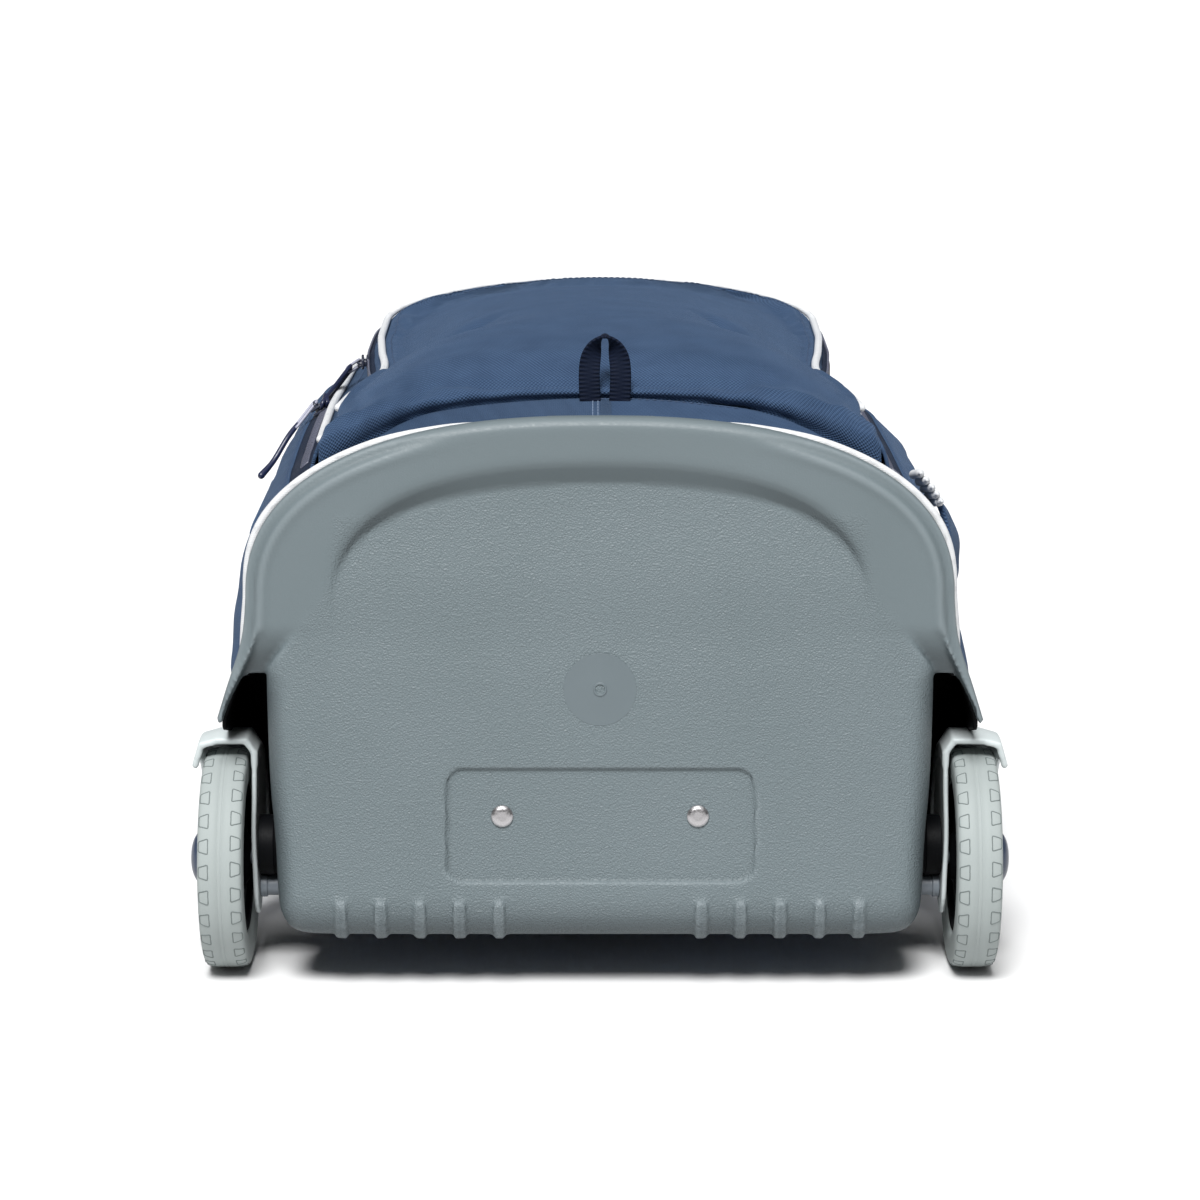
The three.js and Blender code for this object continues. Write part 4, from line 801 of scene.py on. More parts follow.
def set_along(name, paths, shape, pitch, finish, closed=False):
    """Sets a shape along lines of points. Each path is a pair: its points and their up directions."""
    points, edges, ups = [], [], []
    for line, up in paths:
        first = len(points)
        points.extend(line)
        ups.extend(np.broadcast_to(up, np.shape(line)))
        edges += [(first + i, first + i + 1) for i in range(len(line) - 1)]
        if closed:
            edges.append((len(points) - 1, first))
    mesh = bpy.data.meshes.new(name)
    mesh.from_pydata(place(points).tolist(), edges, [])
    mesh.attributes.new("up", "FLOAT_VECTOR", "POINT").data.foreach_set("vector", np.ravel(ups).astype(np.float32))
    guide = bpy.data.objects.new(name + "_guide", mesh)
    bpy.context.scene.collection.objects.link(guide)
    form_mesh = bpy.data.meshes.new(name + "_form")
    form_mesh.from_pydata((np.array(shape[0]) * MM).tolist(), [], [list(map(int, f)) for f in shape[1]])
    form_mesh.shade_smooth()
    form = bpy.data.objects.new(name + "_form", form_mesh)
    bpy.context.scene.collection.objects.link(form)
    modifier = guide.modifiers.new("along", "NODES")
    modifier.node_group = path_tree
    for word, value in (("Shape", form), ("Pitch", pitch * MM), ("Finish", finish)):
        modifier[sockets[word].identifier] = value
    made = bpy.data.meshes.new_from_object(guide.evaluated_get(bpy.context.evaluated_depsgraph_get()))
    made.name = name
    bpy.data.objects.remove(guide)
    bpy.data.objects.remove(form)
    piece = bpy.data.objects.new(name, made)
    bpy.context.scene.collection.objects.link(piece)
    return piece


print("tree:", path_tree.name, "with", len(path_tree.nodes), "nodes")

# %% [markdown]
# The tread has two rows of outlined pads beside the smooth crown. A pad is wider towards the crown and
# follows the tyre's rounded shoulder, so its outline is a thin raised bead bent over that shoulder.
# Walking one row the other way round turns its pads to face the other side.

# %% Tread pads
PADS, PAD_ROW_X, PAD_ROW_RADIUS, BEAD_RADIUS = 26, 7.1, 49.36, 0.32
SHOULDER_ACROSS, SHOULDER_DROP = (-2.2, -1.1, 0, 1.1, 2.2), (0.3, 0.16, 0, -0.3, -0.85)
pad_corners = [(0, -2.1), (3.5, -2.1), (2.2, 2.1), (-2.2, 2.1), (-3.5, -2.1), (0, -2.1)]
pad_line = even(eased([(x, y, 0) for x, y in pad_corners], 0.7, 4), 0.55)
pad_line[:, 2] = np.interp(pad_line[:, 1], SHOULDER_ACROSS, SHOULDER_DROP)
tread_pad = tube(pad_line * (1, -1, 1), BEAD_RADIUS, 6, 1)
# The bead is a darker grey than the tyre: painted shade standing in for the dark outline grooves round the pads.
bead_finish = moulded("tread_bead_painted_groove_shade", (92, 100, 100), (106, 114, 113), 0.62, 2200, 0.00008, 0.3)
turn = np.linspace(0, 2 * math.pi, 208, endpoint=False)
out = np.stack([0 * turn, np.cos(turn), np.sin(turn)], 1)
PAD_PITCH = 2 * PAD_ROW_RADIUS * len(turn) * math.sin(math.pi / len(turn)) / (PADS + 0.01)
for word, side in (("right", 1), ("left", -1)):
    rows = []
    for row, way in ((-1, 1), (1, -1)):
        centre = np.array((side * WHEEL_X + row * PAD_ROW_X, AXLE_Y, AXLE_Z))
        rows.append((centre + PAD_ROW_RADIUS * out[::way], out[::way]))
    pads = set_along(f"tread_pads_{word}", rows, tread_pad, PAD_PITCH, bead_finish, closed=True)
    fit(pads, bead_finish, "tyre_rubber", body=f"wheel_{word}")

# %% [markdown]
# The bag is sewn from a coarse plain weave. Each point of a cloth piece carries its place on the flat
# cloth, in metres, as an attribute called "thread", so the weave follows the cloth round corners.
# Slow noise adds the dye's unevenness.

# %% Woven and ribbed cloth
def woven(name, dark, light, thread, depth, ribs=(1, 1), roughness=0.72, sheen=0.08, gloss=0.3):
    made = Finish(name, roughness)
    flat = made.node("ShaderNodeAttribute", attribute_name="thread")
    parts = made.node("ShaderNodeSeparateXYZ")
    made.join(flat.outputs["Vector"], parts.inputs["Vector"])
    waves = [made.math("SINE", made.math("MULTIPLY", parts.outputs[axis], math.pi / (thread * rib)))
             for axis, rib in zip(("X", "Y"), ribs)]
    checker = made.spread(made.math("MULTIPLY", *waves), -1, 1)
    cloudy = made.noise(flat.outputs["Vector"], 55, 4)
    fuzz = made.noise(flat.outputs["Vector"], 2600, 2)
    tone = made.math("ADD", made.math("MULTIPLY", checker, 0.62), made.math("MULTIPLY", cloudy, 0.38))
    made.colour(made.blend(tone, linear(*dark), linear(*light)))
    made.rough(made.spread(fuzz, 0.3, 0.7, roughness - 0.08, roughness + 0.1))
    made.bump(made.math("ADD", checker, made.math("MULTIPLY", fuzz, 0.25)), depth, 0.9)
    made.set(Specular_IOR_Level=gloss, Sheen_Weight=sheen, Sheen_Roughness=0.4, Sheen_Tint=linear(165, 195, 235))
    return made.material


THREAD = 0.0009
navy = woven("navy_weave", (16, 32, 57), (69, 92, 122), THREAD, 0.0006, sheen=0.14, gloss=0.12)
webbing = woven("dark_webbing", (3, 7, 16), (17, 27, 49), 0.00045, 0.0005, ribs=(40, 2.0), sheen=0.02, gloss=0.12)
zip_tape = woven("zip_tape", (14, 22, 38), (31, 41, 61), 0.0004, 0.00015, ribs=(1, 2.5), sheen=0.03, gloss=0.15)
white_trim = woven("white_trim", (190, 192, 194), (208, 209, 210), 0.0004, 0.00008, roughness=0.6, sheen=0.1)
coil_finish = moulded("zip_coil_grey", (65, 68, 83), (93, 96, 110), 0.3, 2400, 0.00003, 0.6)
pull_finish = moulded("pull_navy_plastic", (15, 22, 47), (28, 36, 67), 0.34, 1800, 0.00004, 0.5)
link_finish = moulded("pull_link_grey", (131, 133, 151), (156, 157, 170), 0.3, 1800, 0.00003, 0.6)
pale_thread = moulded("pale_stitch_thread", (98, 115, 140), (119, 135, 156), 0.6, 3000, 0.00004)
navy_thread = moulded("navy_stitch_thread", (44, 62, 88), (59, 77, 104), 0.6, 3000, 0.00004)
print("finishes: weave, webbing, tape, trim, coil, pull, link, threads")

# %% [markdown]
# A cloth piece is a grid of points in rows. Its faces are turned outwards by looking from the bag's
# middle line, its flat place is stored at each point, and a Solidify modifier gives it a wall that
# grows inwards. Uneven swells along the surface keep it from looking like sheet metal; they die out
# towards the seams, where a stitched edge holds the cloth down.

# %% Cloth from a grid of points
CLOTH_WALL = 1.6


def grid_normals(grid):
    normal = np.cross(np.gradient(grid, axis=0), np.gradient(grid, axis=1))
    normal /= np.maximum(np.linalg.norm(normal, axis=2, keepdims=True), 1e-9)
    inside = np.stack([0 * grid[..., 0], np.clip(grid[..., 1], 60, 420), 0 * grid[..., 2] + 140], -1)
    return normal if np.sum(normal * (grid - inside)) > 0 else -normal


def swells(grid, size, depth, seed):
    """Slow uneven bumps, worked out from the place of each point."""
    height = [noise.noise(Vector(p) / size + Vector((seed, 0, 0))) for p in grid.reshape(-1, 3)]
    return depth * np.array(height).reshape(grid.shape[:2])


def flat_places(grid):
    """Place on the flat cloth: length along the rows and across them, from the first point of each."""
    along = np.cumsum(np.linalg.norm(np.diff(grid, axis=1, prepend=grid[:, :1]), axis=2), axis=1)
    across = np.cumsum(np.linalg.norm(np.diff(grid, axis=0, prepend=grid[:1]), axis=2), axis=0)
    return np.stack([along, across, 0 * along], -1) * MM


def lay_threads(piece, flat):
    """Stores each point's place on the flat cloth, in metres."""
    stored = piece.data.attributes.new("thread", "FLOAT_VECTOR", "POINT")
    stored.data.foreach_set("vector", flat.astype(np.float32).ravel())


def cloth_from(name, grid, flat, keep=None, wall=CLOTH_WALL):
    rows, columns = grid.shape[:2]
    index = np.arange(rows * columns).reshape(rows, columns)
    quads = np.stack([index[:-1, :-1], index[1:, :-1], index[1:, 1:], index[:-1, 1:]], -1)
    normal = np.cross(np.gradient(grid, axis=0), np.gradient(grid, axis=1))
    if np.sum(normal * grid_normals(grid)) < 0:
        quads = quads[..., ::-1]
    quads = quads.reshape(-1, 4) if keep is None else quads[keep]
    piece = piece_from(name, grid.reshape(-1, 3), quads)
    lay_threads(piece, flat)
    shaped = bmesh.new()
    shaped.from_mesh(piece.data)
    bmesh.ops.remove_doubles(shaped, verts=shaped.verts, dist=0.0002)
    bmesh.ops.delete(shaped, geom=[v for v in shaped.verts if not v.link_faces], context="VERTS")
    shaped.to_mesh(piece.data)
    shaped.free()
    if wall:
        thick = piece.modifiers.new("wall", "SOLIDIFY")
        thick.thickness = wall * MM
        thick.offset = -1
    return piece


def cloth_area(grid):
    """Surface of a grid in square metres."""
    cross = np.cross(np.diff(grid, axis=0)[:, :-1], np.diff(grid, axis=1)[:-1])
    return float(np.linalg.norm(cross, axis=2).sum()) * MM * MM


# %% [markdown]
# The main compartment is a D-shaped tube with a rounded top end. A U-shaped line runs up its right
# side, round the end and down its left, at one share of the half width; a stack of such lines, from
# the front seam round the waist to the flat back, makes each cloth panel. Sizes along the bag come
# from a short table, smoothed, because cloth has no kinks there.

# %% Sizes of the cloth body
BODY_Y = (0, 25.5, 51, 100, 150, 250, 350, 440, 520)
BODY_HALF = (153, 155.5, 158, 161, 163, 164, 163, 163, 163)
BODY_TOP = (254, 255.5, 260.8, 257, 252.5, 249, 248, 248, 248)
BODY_BOTTOM = (27, 25, 23, 19.5, 16, 9, 2, -4, -6)
WAIST, MOUTH_Y, END_START, END_LENGTH = 176, 25.5, 350, 165
FRONT_POWER, BACK_POWER, PLAN_POWER = 2.38, 8, 2.6
PANEL_SHARE, ZIP_SHARE = 0.8, 0.885


def smoothed(places, values, reach=15):
    """A table read through a moving average, as a function."""
    fine = np.arange(places[0] - 3 * reach, places[-1] + 3 * reach)
    read = np.interp(fine, places, values)
    window = np.hanning(2 * reach + 3)[1:-1]
    soft = np.convolve(np.pad(read, reach, mode="edge"), window / window.sum(), "valid")
    return lambda y: np.interp(y, fine, soft)


body_half, body_top, body_bottom = (smoothed(BODY_Y, v) for v in (BODY_HALF, BODY_TOP, BODY_BOTTOM))


def front_z(share, y):
    rise = np.maximum(1 - np.abs(share) ** FRONT_POWER, 0) ** (1 / FRONT_POWER)
    return WAIST + (body_top(y) - WAIST) * rise


def back_z(share, y):
    drop = np.maximum(1 - np.abs(share) ** BACK_POWER, 0) ** (1 / BACK_POWER)
    return np.maximum(WAIST - (WAIST - body_bottom(y)) * drop, 0)


def sag(x, y, z):
    """How far the filled bag's shoulders lie from even: the right one has sunk, the left one stands up."""
    high = ease(180, 214, z)
    return high * (4.5 * ease(-95, -128, x) * ease(110, 230, y) - 9 * ease(60, 108, x) * ease(38, 95, y))


def on_front(x, y):
    """Height of the body's front at a place on its plan."""
    past = np.maximum(y - END_START, 0) / END_LENGTH
    share = (np.abs(x / body_half(y)) ** PLAN_POWER + past ** PLAN_POWER) ** (1 / PLAN_POWER)
    height = front_z(np.minimum(share, 1), y)
    return height + sag(x, y, height)


def u_line(share, sides_y, end_points):
    """Plan points of a U at one share of the half width, right side first."""
    angles = np.linspace(0, math.pi / 2, 240)
    x = share * body_half(END_START) * np.clip(np.cos(angles), 0, 1) ** (2 / PLAN_POWER)
    y = END_START + share * END_LENGTH * np.sin(angles) ** (2 / PLAN_POWER)
    end = even(np.stack([x, y], 1), 1)
    run = np.linspace(0, len(end) - 1, end_points + 1)
    end = np.stack([np.interp(run, np.arange(len(end)), column) for column in end.T], 1)
    right = np.concatenate([np.stack([share * body_half(sides_y), sides_y], 1), end[1:]])
    right[-1, 0] = 0
    return np.concatenate([right, right[-2::-1] * [-1, 1]])


print("body: half width", float(body_half(100)), "front", float(body_top(100)))

# %% [markdown]
# The shell is the cloth from the zip's outer edge over the sides to the back. The corners for the
# wheels are left out of it, so columns of the grid stand exactly where the tray and the wells end. The
# rows round the join of the front half and the back half are eased, by moving each one a few times
# towards the middle of its neighbours, or the join shows as a crease at the far end.

# %% Shell of the main compartment
WELL_INSIDE_X, WELL_BACK_Y, WELL_TOP_Z, TRAY_BACK_Y = 136.7, 120.3, 142.3, 30.3
SIDE_Y = np.unique(np.concatenate([np.arange(MOUTH_Y, END_START, 6), [TRAY_BACK_Y, WELL_BACK_Y, END_START]]))
END_POINTS = 40
fine_angles = np.linspace(0, math.pi / 2, 3000)
front_shares = np.cos(fine_angles) ** (2 / FRONT_POWER)
front_shares = front_shares[front_shares > ZIP_SHARE + 0.0025][::-1]
back_shares = np.cos(fine_angles) ** (2 / BACK_POWER)
profile = np.concatenate([
    np.stack([front_shares, 0 * front_shares, body_half(200) * front_shares, front_z(front_shares, 200)], 1),
    np.stack([back_shares, 0 * back_shares + 1, body_half(200) * back_shares, back_z(back_shares, 200)], 1)])
lengths = np.concatenate([[0], np.cumsum(np.linalg.norm(np.diff(profile[:, 2:], axis=0), axis=1))])
picked = np.searchsorted(lengths, np.linspace(0, lengths[-1], 72)).clip(0, len(lengths) - 1)
shell_rows = []
for share, is_back, _, _ in profile[picked]:
    plan = u_line(max(share, 0.0004), SIDE_Y, END_POINTS)
    height = (back_z if is_back else front_z)(share, plan[:, 1])
    height = height + sag(plan[:, 0], plan[:, 1], height)
    shell_rows.append(np.column_stack([plan, height]))
shell_grid = np.array(shell_rows)
widest_row = int(np.argmax(profile[picked, 1] > 0))
first, last = widest_row - 4, widest_row + 4
for _ in range(10):
    between = (shell_grid[first - 1:last - 1] + shell_grid[first + 1:last + 1]) / 2
    shell_grid[first:last] += 0.5 * (between - shell_grid[first:last])
print("shell grid", shell_grid.shape[:2], "widest row", widest_row)

# %% [markdown]
# Cloth over soft contents is never flat, so wide low swells and smaller ones lift the grid along its
# normals, and fade out towards the zip, the tray and the ground. Then two rows are pulled exactly onto
# the wells' roof and inner side, and the faces in the wells and behind the tray are left out.

# %% Swells of the shell, and its corners for the wheels
shell_lift = swells(shell_grid, 46, 1.6, 3) + swells(shell_grid, 17, 0.5, 8)
row_share = np.arange(len(shell_grid))[:, None] / len(shell_grid)
shell_lift *= ease(0, 0.06, row_share) * ease(26, 46, shell_grid[..., 1]) * ease(2, 14, shell_grid[..., 2])
shell_grid += shell_lift[..., None] * grid_normals(shell_grid)
by_wheel = shell_grid[..., 1] <= WELL_BACK_Y + 0.01
top_row = int(np.argmin(np.abs(shell_grid[:, 8, 2] - WELL_TOP_Z)))
side_row = int(np.argmin(np.abs(np.abs(shell_grid[:, 8, 0]) - WELL_INSIDE_X) + (shell_grid[:, 8, 2] > 60) * 999))
shell_grid[top_row, by_wheel[top_row], 2] = WELL_TOP_Z
shell_grid[side_row, by_wheel[side_row], 0] = np.copysign(WELL_INSIDE_X, shell_grid[side_row, by_wheel[side_row], 0])
middle_y = (shell_grid[:-1, :-1, 1] + shell_grid[1:, 1:, 1]) / 2
row_number = np.arange(len(shell_grid) - 1)[:, None]
in_well = (middle_y < WELL_BACK_Y) & (row_number >= top_row) & (row_number < side_row)
behind_tray = (middle_y < TRAY_BACK_Y) & (row_number >= top_row)
shell = cloth_from("main_shell", shell_grid, flat_places(shell_grid), ~(in_well | behind_tray))
fit(shell, navy, "navy_cloth", "body_shell")
print("shell cloth:", round(cloth_area(shell_grid), 3), "square metres")

# %% [markdown]
# The front panel lies inside the zip, and the zip's tape is sunk a little between the two. The tape
# follows the same U lines, so the gap between panel and shell is even all the way round.

# %% Front panel and main zip tape
def share_rows(shares, sides_y, lift=0):
    rows = []
    for share in shares:
        plan = u_line(share, sides_y, END_POINTS)
        height = front_z(share, plan[:, 1])
        rows.append(np.column_stack([plan, height + sag(plan[:, 0], plan[:, 1], height)]))
    grid = np.array(rows)
    return grid + lift * grid_normals(grid)


panel_grid = share_rows(np.linspace(0.0004, PANEL_SHARE - 0.0025, 26), SIDE_Y)
panel_lift = swells(panel_grid, 30, 0.7, 5) * ease(PANEL_SHARE, 0.72, np.linspace(0, PANEL_SHARE, 26))[:, None]
panel_grid += (panel_lift * ease(26, 36, panel_grid[..., 1]))[..., None] * grid_normals(panel_grid)
panel = cloth_from("main_front_panel", panel_grid, flat_places(panel_grid))
fit(panel, navy, "navy_cloth", "front_panel")

ZIP_SINK = 0.7
tape_grid = share_rows(np.linspace(PANEL_SHARE - 0.004, ZIP_SHARE + 0.006, 12), SIDE_Y, -ZIP_SINK)
tape = cloth_from("main_zip_tape", tape_grid, flat_places(tape_grid), wall=1)
fit(tape, zip_tape, "zip_tape", "main_zip")

# %% [markdown]
# The front pocket is a crown that bulges over its nose, and a gusset that stands round it with the zip.
# Its half width, its edge and its crown are short tables along the bag, smoothed like the body's. Past
# the last place in the tables the far end is an arc that closes the crown.

# %% Sizes of the front pocket
POCKET_Y = (51, 56, 65, 82, 110, 150, 175, 200, 228, 260, 330, 400)
POCKET_HALF = (125, 125, 123, 119, 113.5, 106, 103.5, 103, 104.5, 107.5, 112, 113)
POCKET_EDGE = (242.5, 244.5, 247, 250, 252.5, 253, 252.8, 252.5, 252.3, 252, 251.8, 252)
POCKET_CROWN = (263, 270, 276.5, 283.5, 287, 288.3, 288.4, 288.5, 287.6, 286.5, 282, 277)
POCKET_FAR_Y, POCKET_FAR_Z, POCKET_ARC_POWER, POCKET_FLARE = 445, 271, 2.2, 5
NOSE_Y, FAR_ARC_Y = POCKET_Y[0], POCKET_Y[-1]
HALF_REACH, EDGE_REACH, CROWN_REACH = 20, 12, 6
pocket_half = smoothed(POCKET_Y, POCKET_HALF, HALF_REACH)
pocket_edge = smoothed(POCKET_Y, POCKET_EDGE, EDGE_REACH)
pocket_crown = smoothed(POCKET_Y, POCKET_CROWN, CROWN_REACH)


def pocket_row(y):
    """Half width, edge height and crown height of the pocket at one place along the bag."""
    if y <= FAR_ARC_Y:
        return float(pocket_half(y)), float(pocket_edge(y)), float(pocket_crown(y))
    s = min((y - FAR_ARC_Y) / (POCKET_FAR_Y - FAR_ARC_Y), 1)
    return (POCKET_HALF[-1] * (1 - s ** POCKET_ARC_POWER) ** (1 / POCKET_ARC_POWER),
            POCKET_EDGE[-1] + (POCKET_FAR_Z - POCKET_EDGE[-1]) * s ** 1.3,
            POCKET_CROWN[-1] + (POCKET_FAR_Z + 1 - POCKET_CROWN[-1]) * s)


print("pocket: half width", pocket_row(200)[0], "crown", pocket_row(200)[2])

# %% [markdown]
# The crown is a grid of cloth, with more rows at the nose and the far end, where it bends most. At the
# nose it bulges out over its own seam, is gathered in small pleats towards the corners, and rolls under
# into the crease above the band; its corners hang forward to the tray's rim.

# %% Crown of the front pocket
CROWN_COLUMNS = 57
across = (np.sin(np.linspace(-math.pi / 2, math.pi / 2, CROWN_COLUMNS)) * 0.45
          + np.linspace(-1, 1, CROWN_COLUMNS) * 0.55)
far_shares = np.sin(np.linspace(0, math.pi / 2, 16)[1:])
crown_y = np.concatenate([np.arange(NOSE_Y, 60, 1.5), np.arange(61, 396, 4.4), [FAR_ARC_Y],
                          FAR_ARC_Y + (POCKET_FAR_Y - FAR_ARC_Y) * far_shares])
crown_rows = []
NOSE_ROLL = ((6.0, 1.0), (3.4, 0.94), (1.2, 0.8), (-0.3, 0.6), (-1.0, 0.38), (-0.9, 0.16))
NOSE_BULGE, GATHER_DEPTH, CORNER_REACH = 6, 0.9, 23


def nose_forward(x, y):
    """How far the nose's corners hang forward, down to the tray's rim."""
    return CORNER_REACH * ease(74, 116, np.abs(x)) * ease(125, NOSE_Y, y)


def crown_row(y):
    """One row of the crown: fuller at the nose, where it also bulges out over its own seam."""
    half, edge, crown = pocket_row(y)
    nose = float(ease(36, 60, y) * ease(205, 140, y))
    reach = np.abs(across)
    height = edge + (crown - edge) * (1 - reach ** (2.2 + 1.6 * nose))
    bulge = NOSE_BULGE * nose * ease(0.5, 0.9, reach) * ease(1.0, 0.93, reach)
    x = half * across + np.sign(across) * bulge
    gathers = GATHER_DEPTH * np.sin(x / 2.4 + 2 * np.sin(x / 17)) * ease(92, 54, y) * ease(26, 60, np.abs(x))
    return x, height + gathers * ease(1, 0.85, reach)


for back, drop in NOSE_ROLL:
    x, height = crown_row(NOSE_Y)
    y = NOSE_Y + back * ease(1, 0.8, np.abs(across)) - nose_forward(x, NOSE_Y)
    low = on_front(x, y) + 0.2
    crown_rows.append(np.stack([x, y, height + drop * (low - height)], 1))
for y in crown_y:
    x, height = crown_row(y)
    crown_rows.append(np.stack([x, y - nose_forward(x, y), height], 1))
crown_grid = np.array(crown_rows)
crown = cloth_from("pocket_crown", crown_grid, flat_places(crown_grid), wall=0)
print("crown grid", crown_grid.shape[:2])

# %% [markdown]
# A filled pocket is never as even as a formula. A cloth simulation lets the crown, held at its seams and
# given a little extra cloth and some pressure from inside, find its own soft unevenness. No point may
# move far, so the crown stays over its gusset.

# %% Cloth simulation of the crown
def settle(piece, held, frames=24, pressure=2.0, spare=0.03, cap=5):
    """Lets a cloth find its wrinkles: held points stay, and no point moves more than the cap."""
    start = np.empty(len(piece.data.vertices) * 3, np.float32)
    piece.data.vertices.foreach_get("co", start)
    group = piece.vertex_groups.new(name="held")
    group.add([int(i) for i in held], 1.0, "REPLACE")
    cloth = piece.modifiers.new("settle", "CLOTH")
    cloth.settings.vertex_group_mass = "held"
    for key, value in (("quality", 6), ("mass", 0.25), ("tension_stiffness", 30), ("compression_stiffness", 30),
                       ("shear_stiffness", 12), ("bending_stiffness", 0.4), ("use_pressure", True),
                       ("uniform_pressure_force", pressure), ("shrink_min", -spare)):
        setattr(cloth.settings, key, value)
    cloth.settings.effector_weights.gravity = 0.15
    cloth.point_cache.frame_end = frames
    for number in range(1, frames + 1):
        bpy.context.scene.frame_set(number)
    settled = bpy.data.meshes.new_from_object(piece.evaluated_get(bpy.context.evaluated_depsgraph_get()))
    end = np.empty_like(start)
    settled.vertices.foreach_get("co", end)
    move = (end - start).reshape(-1, 3)
    length = np.linalg.norm(move, axis=1, keepdims=True)
    move *= np.minimum(1, cap * MM / np.maximum(length, 1e-9))
    piece.modifiers.remove(cloth)
    piece.vertex_groups.remove(group)
    bpy.context.scene.frame_set(1)
    piece.data.vertices.foreach_set("co", (start.reshape(-1, 3) + move).ravel())
    piece.data.update()
    print(f"{piece.name}: settled by up to {float(length.max()) / MM:.1f} mm, capped at {cap}")


places = np.array([v.co for v in crown.data.vertices]) / MM
places[:, 1] += TRAY_TO_MIDDLE
half_at = np.array([pocket_row(y)[0] for y in places[:, 1]])
by_nose = places[:, 1] < NOSE_Y + 1.5 - nose_forward(places[:, 0], NOSE_Y)
held = np.flatnonzero((np.abs(places[:, 0]) > half_at - 2.5) | by_nose | (places[:, 1] > POCKET_FAR_Y - 6))
settle(crown, held)

# %% [markdown]
# Two slanting folds run over the crown, outwards and towards the nose's corners. The pressure would push
# them out again, so they are pressed in after the simulation, and fade out towards the seams.

# %% Folds of the crown
POCKET_FOLDS = (((-59, 240), (-92, 175)), ((57, 253), (92, 172)))
FOLD_DEPTH, FOLD_WIDTH = 6, 8


def fold_depth(x, y):
    sunk = 0
    for start, end in POCKET_FOLDS:
        sunk = sunk + FOLD_DEPTH * np.exp(-(line_distance([start, end], x, y) / FOLD_WIDTH) ** 2)
    return sunk


to_seam = np.minimum(np.abs(places[:, 0]) / np.maximum(half_at, 1), 1)
pressed = fold_depth(places[:, 0], places[:, 1]) * (1 - to_seam ** 6)
for vertex, depth in zip(crown.data.vertices, pressed):
    vertex.co.z -= depth * MM
thick = crown.modifiers.new("wall", "SOLIDIFY")
thick.thickness, thick.offset = CLOTH_WALL * MM, -1
soft = crown.modifiers.new("soft", "SUBSURF")
soft.levels = soft.render_levels = 1
fit(crown, navy, "navy_cloth", "front_pocket")

# %% [markdown]
# The gusset stands between the crown's edge and the front panel. Its line runs from the right of the
# nose round the far end to the left, and its foot flares out a little. The zip's tape is a second,
# narrow strip just outside it.

# %% Gusset and pocket zip tape
def pocket_line(start):
    """Points along the pocket's edge from the right side round the far end to the left, and outward
    directions on the plan."""
    arc = FAR_ARC_Y + (POCKET_FAR_Y - FAR_ARC_Y) * np.sin(np.linspace(0, math.pi / 2, 60))
    ys = np.concatenate([np.arange(start, FAR_ARC_Y, 4), arc])
    right = np.array([(pocket_row(y)[0], y - nose_forward(pocket_row(y)[0], y), pocket_row(y)[1]) for y in ys])
    line = even(np.concatenate([right, right[-2::-1] * [-1, 1, 1]]), 4)
    step = np.gradient(line[:, :2], axis=0)
    out = np.stack([step[:, 1], -step[:, 0], 0 * step[:, 0]], 1)
    out /= np.linalg.norm(out, axis=1)[:, None]
    return line, out


GUSSET_PUFF = 4.2


def gusset_row(line, out, share):
    """One line along the gusset, from the crown's edge at share 0 to its foot at share 1."""
    foot = line + POCKET_FLARE * out
    foot[:, 2] = np.minimum(on_front(foot[:, 0], np.minimum(foot[:, 1], 470)) - 1.5, line[:, 2] - 2)
    puff = GUSSET_PUFF * np.sin(math.pi * np.clip(share, 0, 1)) ** 0.6 * ease(60, 130, line[:, 1:2])
    return line + share * (foot - line) + (0.9 * np.sin(math.pi * share) + puff) * out


edge_line, edge_out = pocket_line(NOSE_Y + 0.5)
gusset_grid = np.array([gusset_row(edge_line, edge_out, share * np.ones((len(edge_line), 1)))
                        for share in np.linspace(0, 1, 9)])
gusset_grid[1:-1] += (swells(gusset_grid, 22, 0.8, 11)[1:-1])[..., None] * edge_out
gusset = cloth_from("pocket_gusset", gusset_grid, flat_places(gusset_grid))
fit(gusset, navy, "navy_cloth")
print("gusset cloth:", round(cloth_area(gusset_grid), 4), "square metres")

ZIP_START_Y, ZIP_DROP, ZIP_HEIGHT, ZIP_OUT = 130, 4, 8, 0.7
zip_line, zip_out = pocket_line(ZIP_START_Y)
zip_height = zip_line[:, 2] - gusset_row(zip_line, zip_out, np.ones((len(zip_line), 1)))[:, 2]
zip_shares = [np.minimum((ZIP_DROP + share * ZIP_HEIGHT) / zip_height, 0.9)[:, None] for share in np.linspace(0, 1, 5)]
zip_grid = np.array([gusset_row(zip_line, zip_out, share) + ZIP_OUT * zip_out for share in zip_shares])
pocket_tape = cloth_from("pocket_zip_tape", zip_grid, flat_places(zip_grid), wall=0.8)
fit(pocket_tape, zip_tape, "zip_tape", "pocket_zip")

# %% [markdown]
# White piping covers three seams: behind the tray's rim, along the main zip and along the pocket's
# edge. Each is a cord in a sewn cover, so a round tube with a faint weave.

# %% Piping
PIPING_RADIUS = 2.2


def trim_tube(name, line, node, radius=PIPING_RADIUS):
    points, faces = tube(line, radius, 14)
    piece = piece_from(name, points, faces)
    run = np.concatenate([[0], np.cumsum(np.linalg.norm(np.diff(line, axis=0), axis=1))])
    nearest = np.argmin(np.linalg.norm(points[:, None] - np.array(line)[None, ::4], axis=2), axis=1) * 4
    flat = np.stack([run[nearest.clip(0, len(run) - 1)], points[:, 2], points[:, 0]], 1) * MM
    lay_threads(piece, flat)
    fit(piece, white_trim, "white_trim", node)


